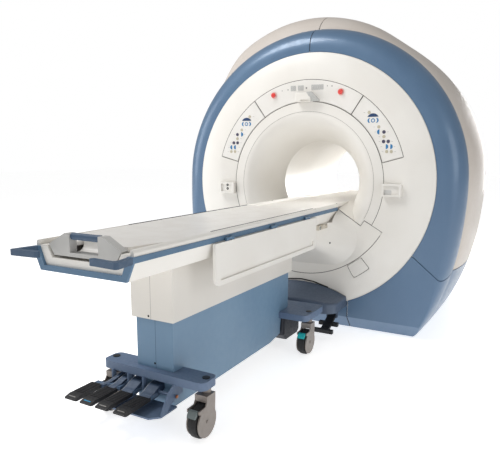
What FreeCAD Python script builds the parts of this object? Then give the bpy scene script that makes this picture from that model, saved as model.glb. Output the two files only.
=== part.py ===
import FreeCAD
import Part
import Sketcher
import math
import os

Vector = FreeCAD.Vector

# A closed-bore imaging scanner with its docked patient table, in millimetres.
# The origin lies on the floor at the centre of the magnet's four anchor holes, under the
# middle of the tunnel. +Z is up, the tunnel runs along Y, and the table stands toward -Y.

DOC = FreeCAD.newDocument("imaging_scanner")
SHEET = DOC.addObject("Spreadsheet::Sheet", "dims")

SIZES = [
    # Gantry, common to the covers
    ("isocentre_height", 1045, "tunnel axis above the floor"),
    ("gantry_depth", 1720, "between the front and rear rims"),
    ("tunnel_radius", 300, "patient tunnel"),
    ("skin_wall", 6, "moulded covers"),
    ("fit_gap", 0.3, "clearance between neighbouring pieces"),
    ("seam_gap", 6, "open line between two covers"),
    ("panel_gap", 4, "open line round an inset panel"),
    ("lap_width", 10, "overlap of a seat behind a cover"),
    # Front fascia and flare
    ("rim_radius", 895.5, "inner circle of the front bezel"),
    ("ring_radius", 713, "outer circle of the control ring"),
    ("collar_radius", 563, "inner circle of the control ring"),
    ("lip_radius", 496, "where the flare starts"),
    ("dome_edge", 2, "how far the fascia stands out at its rim"),
    ("dome_shoulder", 28, "the same half way to the control ring"),
    ("dome_height", 40, "the same at the control ring"),
    ("collar_height", 31, "the same at the collar"),
    ("flare_depth", 290, "flare, behind the rim plane"),
    ("display_angle", 34.7, "half angle of the top display panel"),
    ("control_angle", 40, "angle of each side control panel"),
    # Front bezel
    ("bezel_half_width", 1066, "front bezel at the tunnel axis"),
    ("floor_half_width", 794, "covers at the floor"),
    ("bezel_depth", 150, "front bezel, rim plane to side covers"),
    ("bezel_round", 141, "how far the bezel's front edge is drawn in"),
    ("bezel_floor_round", 24, "the same at the floor"),
    ("bezel_bottom_half", 340, "half length of the bottom bezel"),
    ("toe_height", 98, "kick space under the bezel"),
    ("toe_depth", 90, "depth of the kick space"),
    # Side covers
    ("cover_front_half_width", "=bezel_half_width - 4", "side covers behind the bezel"),
    ("cover_rear_half_width", 1000, "side covers where the rear rounds off"),
    ("cover_belly", 68, "extra half width part way back"),
    ("rear_round", 150, "depth of the rear rounding"),
    ("rear_inset", 120, "how far the rear edge is drawn in"),
    ("rear_rim_radius", 840, "opening in the rear covers"),
    ("hump_height", 160, "turret cover over the cold head"),
    ("hump_angle", 34, "turret, left of the top"),
    ("hump_reach_left", 28, "angle over which the turret falls to the left"),
    ("hump_reach_right", 64, "angle over which it falls to the right"),
    ("skirt_height", 485, "top of the side skirts"),
    ("frame_gap", 3, "cover hoops inside the covers"),
    ("frame_depth", 12, "cover hoops across"),
    ("bracket_half_width", 30, "brackets from the magnet to the hoops"),
    # Magnet
    ("vessel_radius", 930, "magnet vessel"),
    ("vessel_length", 1300, "magnet vessel"),
    ("vessel_bore_radius", 450.5, "warm bore of the vessel"),
    ("coil_outer_radius", 450, "gradient coil"),
    ("coil_inner_radius", 336, "gradient coil"),
    ("coil_length", 1290, "gradient coil"),
    ("foot_length", 160, "magnet foot, along the tunnel"),
    ("foot_inner", 380, "inner face of a foot"),
    ("foot_width", 120, "upright of a foot"),
    ("foot_plate_width", 240, "foot plate"),
    ("foot_plate_thickness", 30, "foot plate"),
    ("anchor_x", 560, "anchor hole from the centre plane"),
    ("anchor_y", 500, "anchor hole from the isocentre"),
    ("anchor_hole_radius", 13, "anchor hole"),
    ("cold_head_radius", 90, "cold head"),
    ("cold_head_height", 200, "cold head above the vessel"),
    ("cold_head_y", -100, "cold head along the tunnel"),
    # Things on the fascia
    ("light_width", 111, "alignment light housing"),
    ("light_height", 62, "alignment light housing"),
    ("light_depth", 42, "alignment light housing"),
    ("light_bottom", 1606, "underside of the alignment light"),
    ("light_offset", -8, "alignment light off the centre plane"),
    ("port_width", 125, "port box"),
    ("port_height", 82, "port box"),
    ("port_depth", 34, "port box"),
    ("port_inner", 563, "inner edge of a port box"),
    ("port_bottom", 977, "underside of the right port box"),
    ("stop_x", 249, "emergency stop off the centre plane"),
    ("stop_height", 1662, "emergency stop above the floor"),
    ("stop_radius", 17, "stop button cap"),
    ("stop_stem_radius", 6, "stop button stem"),
    ("stop_cap_depth", 8, "stop button cap"),
    ("stop_travel", 5, "stroke of a stop button"),
    # Lower front cover
    ("bib_radius", 650, "lower front cover"),
    ("bib_angle", 118.5, "its edge from the top, in degrees"),
    ("bib_inner_angle", 123.5, "the same inside the collar"),
    ("bib_step_radius", 505, "where the two angles meet"),
    ("bib_inner_radius", 306, "inner edge of the lower front cover"),
    ("snout_half_width", 400, "snout at the fascia"),
    ("snout_bottom", 470, "underside of the snout at the fascia"),
    ("snout_round", 190, "corner of the snout at the fascia"),
    ("snout_tip_half_width", 200, "snout at its tip"),
    ("snout_tip_bottom", 690, "underside of the snout at its tip"),
    ("snout_tip_round", 50, "corner of the snout at its tip"),
    ("snout_reach", 436, "tip of the snout in front of the rim plane"),
    ("socket_length", 170, "coil socket block"),
    ("socket_height", 31, "coil socket block"),
    ("socket_reach", 12, "coil socket outside the snout"),
    ("socket_y", 330, "far end of a coil socket in front of the rim plane"),
    ("flap_inner_radius", 655, "access flap"),
    ("flap_outer_radius", 757, "access flap"),
    ("flap_start_angle", 138.5, "access flap, from the top"),
    ("flap_end_angle", 149, "access flap, from the top"),
    ("flap_round", 14, "corners of the access flap"),
    ("bib_round", 18, "outer corners of the lower front cover"),
    # Dock housing
    ("dock_half_width", 335, "dock housing"),
    ("dock_bottom", 178, "underside of the dock housing"),
    ("dock_shoulder", 250, "dock housing at its side"),
    ("dock_top", 345, "dock housing where it meets the fascia"),
    ("dock_front_top", 264, "dock housing at its front"),
    ("dock_reach", 270, "front of the dock housing"),
    ("dock_gap", 3, "dock housing to the fascia"),
    ("dock_plate", 12, "floor plate of the dock housing"),
    ("dock_corner", 80, "dock housing corners in plan"),
    ("dock_edge", 16, "dock housing top edge"),
    ("dock_lug_half", 14, "lugs of the dock pedals"),
    # Bridge, tray and cradle
    ("table_top_height", 913, "top of the tray rims and of the bridge"),
    ("tray_half_width", 254, "tray and bridge"),
    ("rim_width", 17, "tray rim beside the cradle channel"),
    ("channel_depth", 20, "cradle channel"),
    ("well_half_width", 195, "well under the cradle, at its top"),
    ("well_floor_half_width", 168, "well under the cradle, at its floor"),
    ("well_depth", 67, "well floor below the rims"),
    ("tray_depth", 121, "tray underside below the rims"),
    ("tray_floor_half_width", 225, "tray at its underside"),
    ("stripe_top", 25, "bumper stripe below the rims"),
    ("stripe_height", 24, "bumper stripe"),
    ("stripe_depth", 4, "bumper seat in the tray's side"),
    ("stripe_stand", 3, "how far the stripe stands out"),
    ("tray_head", 441, "head end of the tray in front of the rim plane"),
    ("tray_length", 1735, "tray"),
    ("tray_round", 14, "top edge of the tray"),
    ("bridge_gap", 2, "between the bridge and the docked tray"),
    ("bridge_rear", 1690, "rear end of the bridge behind the rim plane"),
    ("bridge_foot_half_width", 204, "bridge where it stands on the liner"),
    ("nose_slope_bottom", 110, "foot of the nose's end slope"),
    ("nose_slope_top", 35, "top of the nose's end slope"),
    ("nose_side_gap", 2.5, "between the bridge's nose and the snout beside it"),
    ("cradle_half_width", 232, "cradle"),
    ("cradle_foot_half_width", 190, "cradle at its foot end"),
    ("cradle_taper", 170, "length of the cradle's tapered end"),
    ("cradle_side_gap", 1, "cradle below the rims"),
    ("cradle_dish", 4, "hollow of the cradle"),
    ("handle_thickness", 38, "cradle handle"),
    ("handle_top_half", 101, "cradle handle at its top"),
    ("handle_mid_half", 190, "cradle handle at the rims"),
    ("handle_low_half", 162, "cradle handle at its underside"),
    ("handle_rise", 35, "cradle handle above the rims"),
    ("handle_fall", 56, "cradle handle below the rims"),
    ("handle_open_half", 75, "finger opening"),
    ("handle_open_fall", 40, "finger opening below the rims"),
    ("grip_radius", 14, "grip sleeve"),
    ("grip_bar_radius", 9, "bar in the grip sleeve"),
    ("grip_rise", 23, "grip above the rims"),
    ("finger_room", 45, "notch in the cradle behind the handle"),
    # Foot frame and push handles
    ("frame_thickness", 12, "U-shaped foot frame"),
    ("frame_half_width", 260, "U-shaped foot frame"),
    ("frame_band", 22, "band of the foot frame"),
    ("push_reach", 92, "push handles beyond the foot frame"),
    ("push_half_width", 277, "push handles at their corner"),
    ("push_bar", 26, "push handle bar in plan"),
    ("push_open_half", 134, "between the two push handles"),
    ("push_round", 12, "push handle edges"),
    # Side guards
    ("guard_thickness", 15, "side guard"),
    ("guard_height", 196, "side guard panel"),
    ("guard_head", 473, "head end of a guard in front of the rim plane"),
    ("guard_length", 1186, "side guard"),
    ("guard_round", 40, "lower corners of a guard"),
    ("guard_slot_height", 30, "long recess in a guard"),
    ("guard_slot_rise", 24, "recess above the guard's lower edge"),
    ("guard_slot_margin", 44, "recess from the guard's ends"),
    ("guard_slot_depth", 7, "long recess"),
    ("hinge_stand", 9, "hinge axis outside the stripe"),
    ("hinge_fall", 41, "hinge axis below the rims"),
    ("hinge_pin_radius", 4, "guard hinge rod"),
    ("hinge_knuckle_radius", 7, "guard hinge knuckle"),
    ("hinge_knuckle_width", 22, "guard hinge knuckle"),
    ("hinge_lug_half", 12, "half width of a tray lug"),
    ("hinge_spacing", 460, "between guard hinges"),
    # Columns
    ("column_half_width", 105, "lower column cover"),
    ("column_head", 513, "head end of the lower column cover"),
    ("column_length", 1246, "lower column cover"),
    ("column_top", 540, "lower column cover"),
    ("column_bottom", 97, "lower column cover"),
    ("column_wall", 3, "column covers"),
    ("column_step", 13.4, "upper over lower column cover"),
    ("upper_wall", 2.6, "upper column cover"),
    ("upper_bottom", 506, "upper column cover"),
    ("column_chin", 273, "underside of the column at its head end"),
    ("mast_head", 1000, "head side of the lift column"),
    ("mast_length", 300, "lift column"),
    ("mast_half_width", 60, "lift column"),
    ("mast_wall", 10, "lift column"),
    ("mast_top", 550, "lift column"),
    ("ram_bottom", 470, "lift ram"),
    # Chassis and casters
    ("chassis_top", 225, "chassis beam"),
    ("chassis_bottom", 120, "chassis beam"),
    ("chassis_half_width", 100, "chassis beam"),
    ("beam_bottom", 226, "caster beams"),
    ("beam_height", 39, "caster beams"),
    ("beam_half_width", 296, "caster beams"),
    ("foot_beam_head", 1678, "foot beam"),
    ("foot_beam_width", 120, "foot beam"),
    ("head_beam_head", 350, "head beam"),
    ("head_beam_foot", 645, "head beam"),
    ("beam_round", 34, "corners of the beams"),
    ("nose_half_width", 60, "chassis nose under the head beam"),
    ("tongue_half_width", 45, "tongue that meets the dock housing"),
    ("hull_head", 358, "hull under the head beam"),
    ("hull_foot", 612, "hull under the head beam"),
    ("hull_bottom", 56, "hull under the head beam"),
    ("hull_half_width", 125, "hull under the head beam"),
    ("hull_round", 16, "edges of the hull"),
    ("caster_x", 265, "caster stem off the centre plane"),
    ("foot_caster_y", 1731, "foot casters in front of the rim plane"),
    ("head_caster_y", 538, "head casters in front of the rim plane"),
    ("caster_trail", 42, "wheel behind the stem"),
    ("wheel_radius", 80, "caster wheel"),
    ("wheel_width", 42, "caster wheel"),
    ("tyre_depth", 17, "tyre"),
    ("axle_radius", 8, "caster axle"),
    ("fork_gap", 6, "wheel to fork cheek"),
    ("fork_cheek", 6, "fork cheek"),
    ("cheek_radius", 72, "round cover of a fork cheek"),
    ("fork_crown", 30, "fork crown"),
    ("stem_radius", 11, "caster stem"),
    ("cap_radius", 18, "caster stem cap"),
    ("cap_height", 3, "caster stem cap"),
    ("brake_pin_radius", 3, "brake lever pin"),
    ("brake_hub_radius", 6, "brake lever hub"),
    ("brake_reach", 26, "brake lever beyond its pin"),
    ("brake_behind", 100, "brake lever pin behind the stem"),
    ("brake_height", 146, "brake lever pin above the floor"),
    # Foot pedals and keel
    ("pedal_pivot_y", 1797, "pedal shaft in front of the rim plane"),
    ("pedal_pivot_height", 174, "pedal shaft above the floor"),
    ("pedal_shaft_radius", 8, "pedal shaft"),
    ("pedal_hub_radius", 12, "pedal hub"),
    ("pedal_width", 66, "pedal pad"),
    ("pedal_start", 1862, "near end of a pedal pad"),
    ("pedal_end", 2035, "far end of a pedal pad"),
    ("pedal_thickness", 16, "pedal pad"),
    ("pedal_top", 170, "pedal pad above the floor"),
    ("pedal_arm_width", 38, "pedal arm"),
    ("pedal_neck", 8, "pedal neck between pad and arm"),
    ("pedal_bar_width", 18, "cross bar from a pad to an arm beside it"),
    ("lug_width", 9, "shaft lug"),
    ("pan_top", 120, "floor of the pedal pan"),
    ("pan_wall", 8, "pedal pan"),
    ("pan_right", 140, "right cheek of the pedal pan"),
    ("pan_left", 132, "left side of the pedal pan"),
    ("pan_reach", 1942, "tip of the pedal pan in front of the rim plane"),
    ("dock_pedal_x", 270, "dock pedals off the centre plane"),
    ("dock_pedal_y", 110, "dock pedal shaft in front of the rim plane"),
    ("dock_pedal_height", 130, "dock pedal shaft above the floor"),
    ("dock_pedal_reach", 300, "dock pedal tip in front of the rim plane"),
    ("dock_arm_width", 56, "dock pedal arm"),
    ("dock_bar_half", 68, "half length of a dock pedal's foot bars"),
    ("dock_bar_depth", 30, "foot bar of a dock pedal"),
    ("dock_bar_height", 26, "foot bar of a dock pedal"),
]

for row, (alias, value, meaning) in enumerate(SIZES, 1):
    SHEET.set("A%d" % row, meaning)
    SHEET.set("B%d" % row, str(value))
    SHEET.setAlias("B%d" % row, alias)
DOC.recompute()

NODES = []


def size(alias):
    """A driving dimension as a plain number."""
    return float(SHEET.get(alias))


def cells(text):
    """An expression in which {name} stands for a cell of the sheet."""
    return text.replace("{", "dims.").replace("}", "")


# The rim plane of the front bezel: distances "in front of the rim plane" run toward -Y.
FRONT = "-{gantry_depth} / 2"


def ahead(distance):
    """The Y expression of a distance in front of the rim plane."""
    return "%s - (%s)" % (FRONT, distance)


def node(thing, label):
    """Marks an object as a sub-part, which is written under its label."""
    thing.Label = label
    NODES.append(thing)
    return thing


# Parametric solids

def outline(body, name, role, corners, level):
    """A closed outline on an origin plane, with each corner bound to the sheet."""
    sketch = body.newObject("Sketcher::SketchObject", name)
    plane = next(item for item in body.Origin.OriginFeatures if item.Role == role)
    sketch.AttachmentSupport = [(plane, "")]
    sketch.MapMode = "FlatFace"
    sketch.setExpression("AttachmentOffset.Base.z", cells(level))
    count = len(corners)
    turns = [2 * math.pi * i / count for i in range(count)]
    start = [Vector(10 * math.cos(turn), 10 * math.sin(turn), 0) for turn in turns]
    for i in range(count):
        sketch.addGeometry(Part.LineSegment(start[i], start[(i + 1) % count]), False)
    for i in range(count):
        sketch.addConstraint(Sketcher.Constraint("Coincident", i, 2, (i + 1) % count, 1))
    for i, (across, up) in enumerate(corners):
        for kind, first, text in (("DistanceX", start[i].x, across), ("DistanceY", start[i].y, up)):
            index = sketch.addConstraint(Sketcher.Constraint(kind, i, 1, first))
            sketch.setExpression("Constraints[%d]" % index, cells(text))
    return sketch


def prism(name, role, corners, level, length):
    """A body padded from one outline: XY goes up, YZ toward +X and XZ toward -Y."""
    body = DOC.addObject("PartDesign::Body", name)
    sketch = outline(body, name + "_outline", role, corners, level)
    pad = body.newObject("PartDesign::Pad", name + "_pad")
    pad.Profile = sketch
    pad.setExpression("Length", cells(length))
    return body


def turned(name, corners):
    """A body turned about the tunnel axis, from corners (along Y, radius)."""
    body = DOC.addObject("PartDesign::Body", name)
    sketch = outline(body, name + "_outline", "YZ_Plane", corners, "0")
    turn = body.newObject("PartDesign::Revolution", name + "_turn")
    turn.Profile = sketch
    turn.ReferenceAxis = (sketch, ["H_Axis"])
    turn.Angle = 360
    body.setExpression("Placement.Base.z", cells("{isocentre_height}"))
    return body


def rounded(body, radius, chosen):
    """Fillets the edges of a body that chosen(edge) picks."""
    DOC.recompute()
    names = ["Edge%d" % (i + 1) for i, edge in enumerate(body.Shape.Edges) if chosen(edge)]
    fillet = body.newObject("PartDesign::Fillet", body.Name + "_round")
    fillet.Base = (body.Group[-2], names)
    fillet.setExpression("Radius", cells(radius))
    body.Tip = fillet
    return body


def block(name, x_range, y_range, z_range):
    """A box between pairs of expressions."""
    box = DOC.addObject("Part::Box", name)
    for prop, place, (low, high) in (
        ("Length", "x", x_range),
        ("Width", "y", y_range),
        ("Height", "z", z_range),
    ):
        box.setExpression(prop, cells("(%s) - (%s)" % (high, low)))
        box.setExpression("Placement.Base." + place, cells(low))
    return box


TURN_TO = {
    "x": FreeCAD.Rotation(Vector(0, 1, 0), 90),
    "y": FreeCAD.Rotation(Vector(1, 0, 0), -90),
    "z": FreeCAD.Rotation(),
}


def rod(name, along, centre, radius, start, length):
    """A cylinder along x, y or z; centre gives the other two coordinates."""
    cylinder = DOC.addObject("Part::Cylinder", name)
    cylinder.Placement = FreeCAD.Placement(Vector(0, 0, 0), TURN_TO[along])
    cylinder.setExpression("Radius", cells(radius))
    cylinder.setExpression("Height", cells(length))
    others = [axis for axis in "xyz" if axis != along]
    for axis, text in zip(others, centre):
        cylinder.setExpression("Placement.Base." + axis, cells(text))
    cylinder.setExpression("Placement.Base." + along, cells(start))
    return cylinder


def joined(name, pieces):
    fuse = DOC.addObject("Part::MultiFuse", name)
    fuse.Shapes = pieces
    return fuse


def without(name, base, tools):
    cut = DOC.addObject("Part::Cut", name)
    cut.Base = base
    cut.Tool = tools[0] if len(tools) == 1 else joined(name + "_tools", tools)
    return cut


def mirrored(name, source):
    """The same piece on the other side of the centre plane."""
    mirror = DOC.addObject("Part::Mirroring", name)
    mirror.Source = source
    mirror.Normal = Vector(1, 0, 0)
    return mirror


def fixed(label, shape):
    """A sub-part whose shape is worked out here from the sheet."""
    feature = DOC.addObject("Part::Feature", label)
    feature.Shape = shape
    feature.Placement = shape.Placement
    return node(feature, label)


def upright(edge):
    """Whether an edge is straight and vertical."""
    low = edge.BoundBox
    return low.ZLength > 1 and low.XLength < 0.01 and low.YLength < 0.01


def lengthwise(edge):
    """Whether an edge is straight along the tunnel."""
    low = edge.BoundBox
    return low.YLength > 1 and low.XLength < 0.01 and low.ZLength < 0.01


def crosswise(edge):
    """Whether an edge is straight along X."""
    low = edge.BoundBox
    return low.XLength > 1 and low.YLength < 0.01 and low.ZLength < 0.01


# Shapes worked out from formulas

RIM_Y = -size("gantry_depth") / 2
AXIS_Z = size("isocentre_height")
WALL = size("skin_wall")
GAP = size("fit_gap")
FULL = 6000.0
TUNNEL = Vector(0, 1, 0)


def curve(points):
    spline = Part.BSplineCurve()
    spline.interpolate(points)
    return spline.toShape()


def section(front, back):
    """A face in the YZ plane between two curves of (radius, depth behind the rim plane)."""
    edges = []
    ends = []
    for line in (front, back):
        points = [Vector(0, RIM_Y + depth, radius) for radius, depth in line]
        edges.append(curve(points) if len(points) > 2 else Part.makeLine(points[0], points[-1]))
        ends.append((points[0], points[-1]))
    edges.append(Part.makeLine(ends[0][0], ends[1][0]))
    edges.append(Part.makeLine(ends[0][1], ends[1][1]))
    return Part.Face(Part.Wire(Part.__sortEdges__(edges)))


def swung(face, start=0.0, end=360.0):
    """A face turned about the tunnel axis, from the top clockwise seen from the front."""
    begun = face.copy()
    begun.rotate(Vector(0, 0, 0), TUNNEL, start)
    solid = begun.revolve(Vector(0, 0, 0), TUNNEL, end - start)
    solid.translate(Vector(0, 0, AXIS_Z))
    return solid


def skin_depth(radius):
    """How far behind the rim plane the fascia's front surface lies (negative: in front)."""
    marks = [
        (size("collar_radius"), -size("collar_height")),
        (size("ring_radius"), -size("dome_height")),
        ((size("ring_radius") + size("rim_radius")) / 2, -size("dome_shoulder")),
        (size("rim_radius"), -size("dome_edge")),
    ]
    if radius <= marks[0][0]:
        return marks[0][1]
    for (r1, d1), (r2, d2) in zip(marks, marks[1:]):
        if radius <= r2:
            share = (radius - r1) / (r2 - r1)
            ease = share * share * (3 - 2 * share) if d2 < d1 else share ** 1.25
            return d1 + (d2 - d1) * ease
    return marks[-1][1]


def skin(inner, outer, front=0.0, thickness=None, start=0.0, end=360.0):
    """Part of the domed fascia skin, from front to front + thickness behind its surface."""
    thickness = WALL if thickness is None else thickness
    steps = max(2, int((outer - inner) / 30.0))
    radii = [inner + (outer - inner) * i / steps for i in range(steps + 1)]
    line = [(radius, skin_depth(radius) + front) for radius in radii]
    deep = [(radius, depth + thickness) for radius, depth in line]
    return swung(section(line, deep), start, end)


def ring_block(inner, outer, y_start, y_end, start=0.0, end=360.0):
    """A flat ring or sector of a ring, between two depths behind the rim plane."""
    near = [(inner, y_start), (outer, y_start)]
    far = [(inner, y_end), (outer, y_end)]
    return swung(section(near, far), start, end)


def half_space(point, normal):
    """A very large box on the side of a plane that its normal points to."""
    box = Part.makeBox(FULL, FULL, FULL, Vector(-FULL / 2, -FULL / 2, 0))
    turn = FreeCAD.Rotation(Vector(0, 0, 1), normal)
    box.Placement = FreeCAD.Placement(point, turn)
    return box


def slab(x0, x1, y0, y1, z0, z1):
    return Part.makeBox(x1 - x0, y1 - y0, z1 - z0, Vector(x0, y0, z0))


def loft(wires, ruled=False):
    return Part.makeLoft(wires, True, ruled)


# Magnet, gradient coil and cold head

def build_magnet():
    half = "{vessel_length} / 2"
    ring = turned("vessel_ring", [
        ("-" + half, "{vessel_bore_radius}"),
        (half, "{vessel_bore_radius}"),
        (half, "{vessel_radius}"),
        ("-" + half, "{vessel_radius}"),
    ])
    pieces = [ring]
    holes = [rod("vessel_bore", "y", ("0", "{isocentre_height}"), "{vessel_bore_radius}",
                 "-" + half, "{vessel_length}")]
    for across, side in ((1, "right"), (-1, "left")):
        for along, end in ((1, "rear"), (-1, "front")):
            name = "magnet_foot_%s_%s" % (side, end)
            near = "{foot_inner}" if across > 0 else "-{foot_inner} - {foot_width}"
            middle = "%d * {anchor_y}" % along
            y_range = (middle + " - {foot_length} / 2", middle + " + {foot_length} / 2")
            pieces.append(block(name, (near, near + " + {foot_width}"), y_range,
                                ("0", "{isocentre_height} / 2")))
            low = "{foot_inner}" if across > 0 else "-{foot_inner} - {foot_plate_width}"
            pieces.append(block(name + "_plate", (low, low + " + {foot_plate_width}"), y_range,
                                ("0", "{foot_plate_thickness}")))
            holes.append(rod(name + "_hole", "z", ("%d * {anchor_x}" % across, middle),
                             "{anchor_hole_radius}", "-1", "{foot_plate_thickness} + 2"))
    node(without("magnet_vessel", joined("magnet_body", pieces), holes), "magnet_vessel")

    reach = "{coil_length} / 2"
    coil = turned("gradient_coil", [
        ("-" + reach, "{coil_inner_radius}"),
        (reach, "{coil_inner_radius}"),
        (reach, "{coil_outer_radius}"),
        ("-" + reach, "{coil_outer_radius}"),
    ])
    node(coil, "gradient_coil")

    liner = turned("bore_liner", [
        (FRONT + " + {flare_depth} + {fit_gap}", "{tunnel_radius}"),
        ("{gantry_depth} / 2 - {flare_depth} - {fit_gap}", "{tunnel_radius}"),
        ("{gantry_depth} / 2 - {flare_depth} - {fit_gap}", "{tunnel_radius} + {skin_wall}"),
        (FRONT + " + {flare_depth} + {fit_gap}", "{tunnel_radius} + {skin_wall}"),
    ])
    node(liner, "bore_liner")

    radius = size("vessel_radius")
    angle = size("hump_angle")
    stub = Part.makeCylinder(size("cold_head_radius"), size("cold_head_height") + 60)
    flange = Part.makeCylinder(size("cold_head_radius") * 1.35, 24, Vector(0, 0, 60))
    head = stub.fuse(flange)
    head.translate(Vector(0, size("cold_head_y"), radius - 60))
    head.rotate(Vector(0, 0, 0), TUNNEL, -angle)
    head.translate(Vector(0, 0, AXIS_Z))
    core = Part.makeCylinder(radius + GAP, FULL, Vector(0, -FULL / 2, AXIS_Z), TUNNEL)
    fixed("cold_head", head.cut(core).removeSplitter())


# Outer covers

def flank(half_width, floor_half, share):
    """Half width of the covers, share 0 at the tunnel axis and 1 at the floor."""
    share = min(1.0, max(0.0, share))
    return floor_half + (half_width - floor_half) * (1 - share ** 2.2) ** 0.8


def hump(angle):
    """Share of the turret's height at an angle from the top, left negative."""
    off = angle + size("hump_angle")
    if 0 <= off < size("hump_reach_right"):
        return math.cos(math.radians(90 * off / size("hump_reach_right")))
    if -size("hump_reach_left") < off < 0:
        return math.cos(math.radians(90 * off / size("hump_reach_left"))) ** 2
    return 0.0


def bezel_inset(height):
    """How far the front edge of the bezel is drawn in at a height."""
    share = min(1.0, max(0.0, height / AXIS_Z))
    low = size("bezel_floor_round")
    return low + (size("bezel_round") - low) * share ** 1.3


def arch(y, half_width, inset, rise=0.0, drawn=0.0, bottom=0.0):
    """A cover section: inset is a plain wall offset, drawn a share of the bezel's rounding."""
    floor_half = size("floor_half_width")
    heights = [bottom, 40.0, 110.0, 220.0, 380.0, 600.0, 830.0]
    flanks = []
    for height in heights:
        across = flank(half_width, floor_half, (AXIS_Z - height) / AXIS_Z)
        across -= inset + drawn * bezel_inset(height)
        flanks.append((across, height))
    points = [Vector(across, y, height) for across, height in flanks]
    for step in range(-10, 11):
        angle = -step * 9.0
        radius = half_width - inset - drawn * bezel_inset(AXIS_Z) + rise * hump(angle)
        turn = math.radians(angle)
        points.append(Vector(radius * math.sin(turn), y, AXIS_Z + radius * math.cos(turn)))
    points += [Vector(-across, y, height) for across, height in reversed(flanks)]
    return Part.Wire([curve(points), Part.makeLine(points[-1], points[0])])


def bezel_solid(inset):
    """The front bezel's outer form, or its hollow when inset is the wall."""
    depth = size("bezel_depth")
    full = size("bezel_half_width")
    wires = []
    bottom = -5.0 if inset else 0.0
    for angle in (0, 30, 60, 90):
        turn = math.radians(angle)
        y = RIM_Y + depth * (1 - math.cos(turn))
        if angle == 0:
            y += inset
        if angle == 90 and inset:
            y += 5.0
        wires.append(arch(y, full, inset, 0.0, 1 - math.sin(turn), bottom))
    solid = loft(wires)
    drop = size("toe_height") + inset
    back = size("toe_depth") + inset
    toe = Part.Face(Part.makePolygon([
        Vector(-FULL / 2, RIM_Y - 10, drop * (1 + 10 / back)),
        Vector(-FULL / 2, RIM_Y + back + 20, -drop * 20 / back),
        Vector(-FULL / 2, RIM_Y - 10, -drop * 20 / back),
        Vector(-FULL / 2, RIM_Y - 10, drop * (1 + 10 / back)),
    ])).extrude(Vector(FULL, 0, 0))
    return solid.cut(toe)


def seam_plane():
    """The lower right seam of the bezel: a point of its plane and the plane's upward normal."""
    angle = math.radians(31)
    rim = size("rim_radius")
    wide = size("bezel_half_width")
    inner = Vector(rim * math.cos(angle), RIM_Y, AXIS_Z - rim * math.sin(angle))
    knee = Vector(wide * 0.888, RIM_Y + size("bezel_depth") * 0.1, AXIS_Z * 0.427)
    back = Vector(wide * 0.9456, RIM_Y + size("bezel_depth"), AXIS_Z * 0.46)
    normal = (knee - inner).cross(back - inner)
    if normal.z < 0:
        normal = normal * -1
    return inner, normal.normalize()


def build_bezel():
    hollow = bezel_solid(WALL)
    shell = bezel_solid(0.0).cut(hollow)
    mouth = Part.makeCylinder(size("rim_radius"), 60, Vector(0, RIM_Y - 20, AXIS_Z), TUNNEL)
    shell = shell.cut(mouth)
    gap = size("seam_gap") / 2
    point, normal = seam_plane()
    right = half_space(Vector(gap, 0, 0), Vector(1, 0, 0))
    upper = shell.common(right).common(half_space(point + normal * gap, normal))
    beside = half_space(Vector(size("bezel_bottom_half") + gap, 0, 0), Vector(1, 0, 0))
    lower = shell.common(beside).common(half_space(point - normal * gap, normal * -1))
    reach = size("bezel_bottom_half") - gap
    bottom = shell.common(slab(-reach, reach, -FULL / 2, FULL / 2, -10, AXIS_Z / 2))
    centre = Vector(0, 0, 0)
    side = Vector(1, 0, 0)
    fixed("bezel_upper_right", upper)
    fixed("bezel_upper_left", upper.mirror(centre, side))
    fixed("bezel_lower_right", lower)
    fixed("bezel_lower_left", lower.mirror(centre, side))
    fixed("bezel_bottom", bottom)


def cover_half_width(share):
    """Half width of the side covers, share 0 behind the bezel and 1 where the rear starts."""
    front = size("cover_front_half_width") * (1 - share)
    belly = size("cover_belly") * math.sin(math.pi * share ** 0.7)
    return front + size("cover_rear_half_width") * share + belly


def cover_solid(inset):
    """Side covers with their turret and rounded rear, or their hollow."""
    start = size("bezel_depth") + size("seam_gap")
    stop = size("gantry_depth") - size("rear_round")
    wires = []
    bottom = -5.0 if inset else 0.0
    for mark in (0.0, 0.04, 0.1, 0.22, 0.4, 0.6, 0.82, 1.0):
        depth = start + (stop - start) * mark
        ease = 1 - math.exp(-(depth - start) / 100.0)
        fall = 1 - math.exp(-(stop - depth + 60) / 180.0)
        y = RIM_Y + depth
        if mark == 0.0 and inset:
            y -= 5.0
        rise = size("hump_height") * ease * fall
        wires.append(arch(y, cover_half_width(mark), inset, rise, 0.0, bottom))
    main = loft(wires)
    ends = [wires[-1]]
    rear_rise = size("hump_height") * (1 - math.exp(-60 / 180.0))
    for angle in (30, 60, 85):
        turn = math.radians(angle)
        y = RIM_Y + stop + (size("rear_round") - inset) * math.sin(turn) / math.sin(math.radians(85))
        drawn = size("rear_inset") * (1 - math.cos(turn))
        rise = rear_rise * math.cos(turn)
        ends.append(arch(y, size("cover_rear_half_width"), inset + drawn, rise, 0.0, bottom))
    rear = loft(ends)
    return main.fuse(rear)


def build_side_covers():
    shell = cover_solid(0.0).cut(cover_solid(WALL))
    rear = RIM_Y + size("gantry_depth")
    mouth = Part.makeCylinder(size("rear_rim_radius"), 80, Vector(0, rear - 60, AXIS_Z), TUNNEL)
    shell = shell.cut(mouth)
    gap = size("seam_gap") / 2
    line = size("skirt_height")
    above = slab(-FULL / 2, FULL / 2, -FULL / 2, FULL / 2, line + gap, FULL / 2)
    below = slab(-FULL / 2, FULL / 2, -FULL / 2, FULL / 2, -10, line - gap)
    right = half_space(Vector(gap, 0, 0), Vector(1, 0, 0))
    left = half_space(Vector(-gap, 0, 0), Vector(-1, 0, 0))
    upper = shell.common(above)
    fixed("side_cover_right", upper.common(right))
    fixed("side_cover_left", upper.common(left))
    fixed("side_skirts", shell.common(below))


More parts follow.
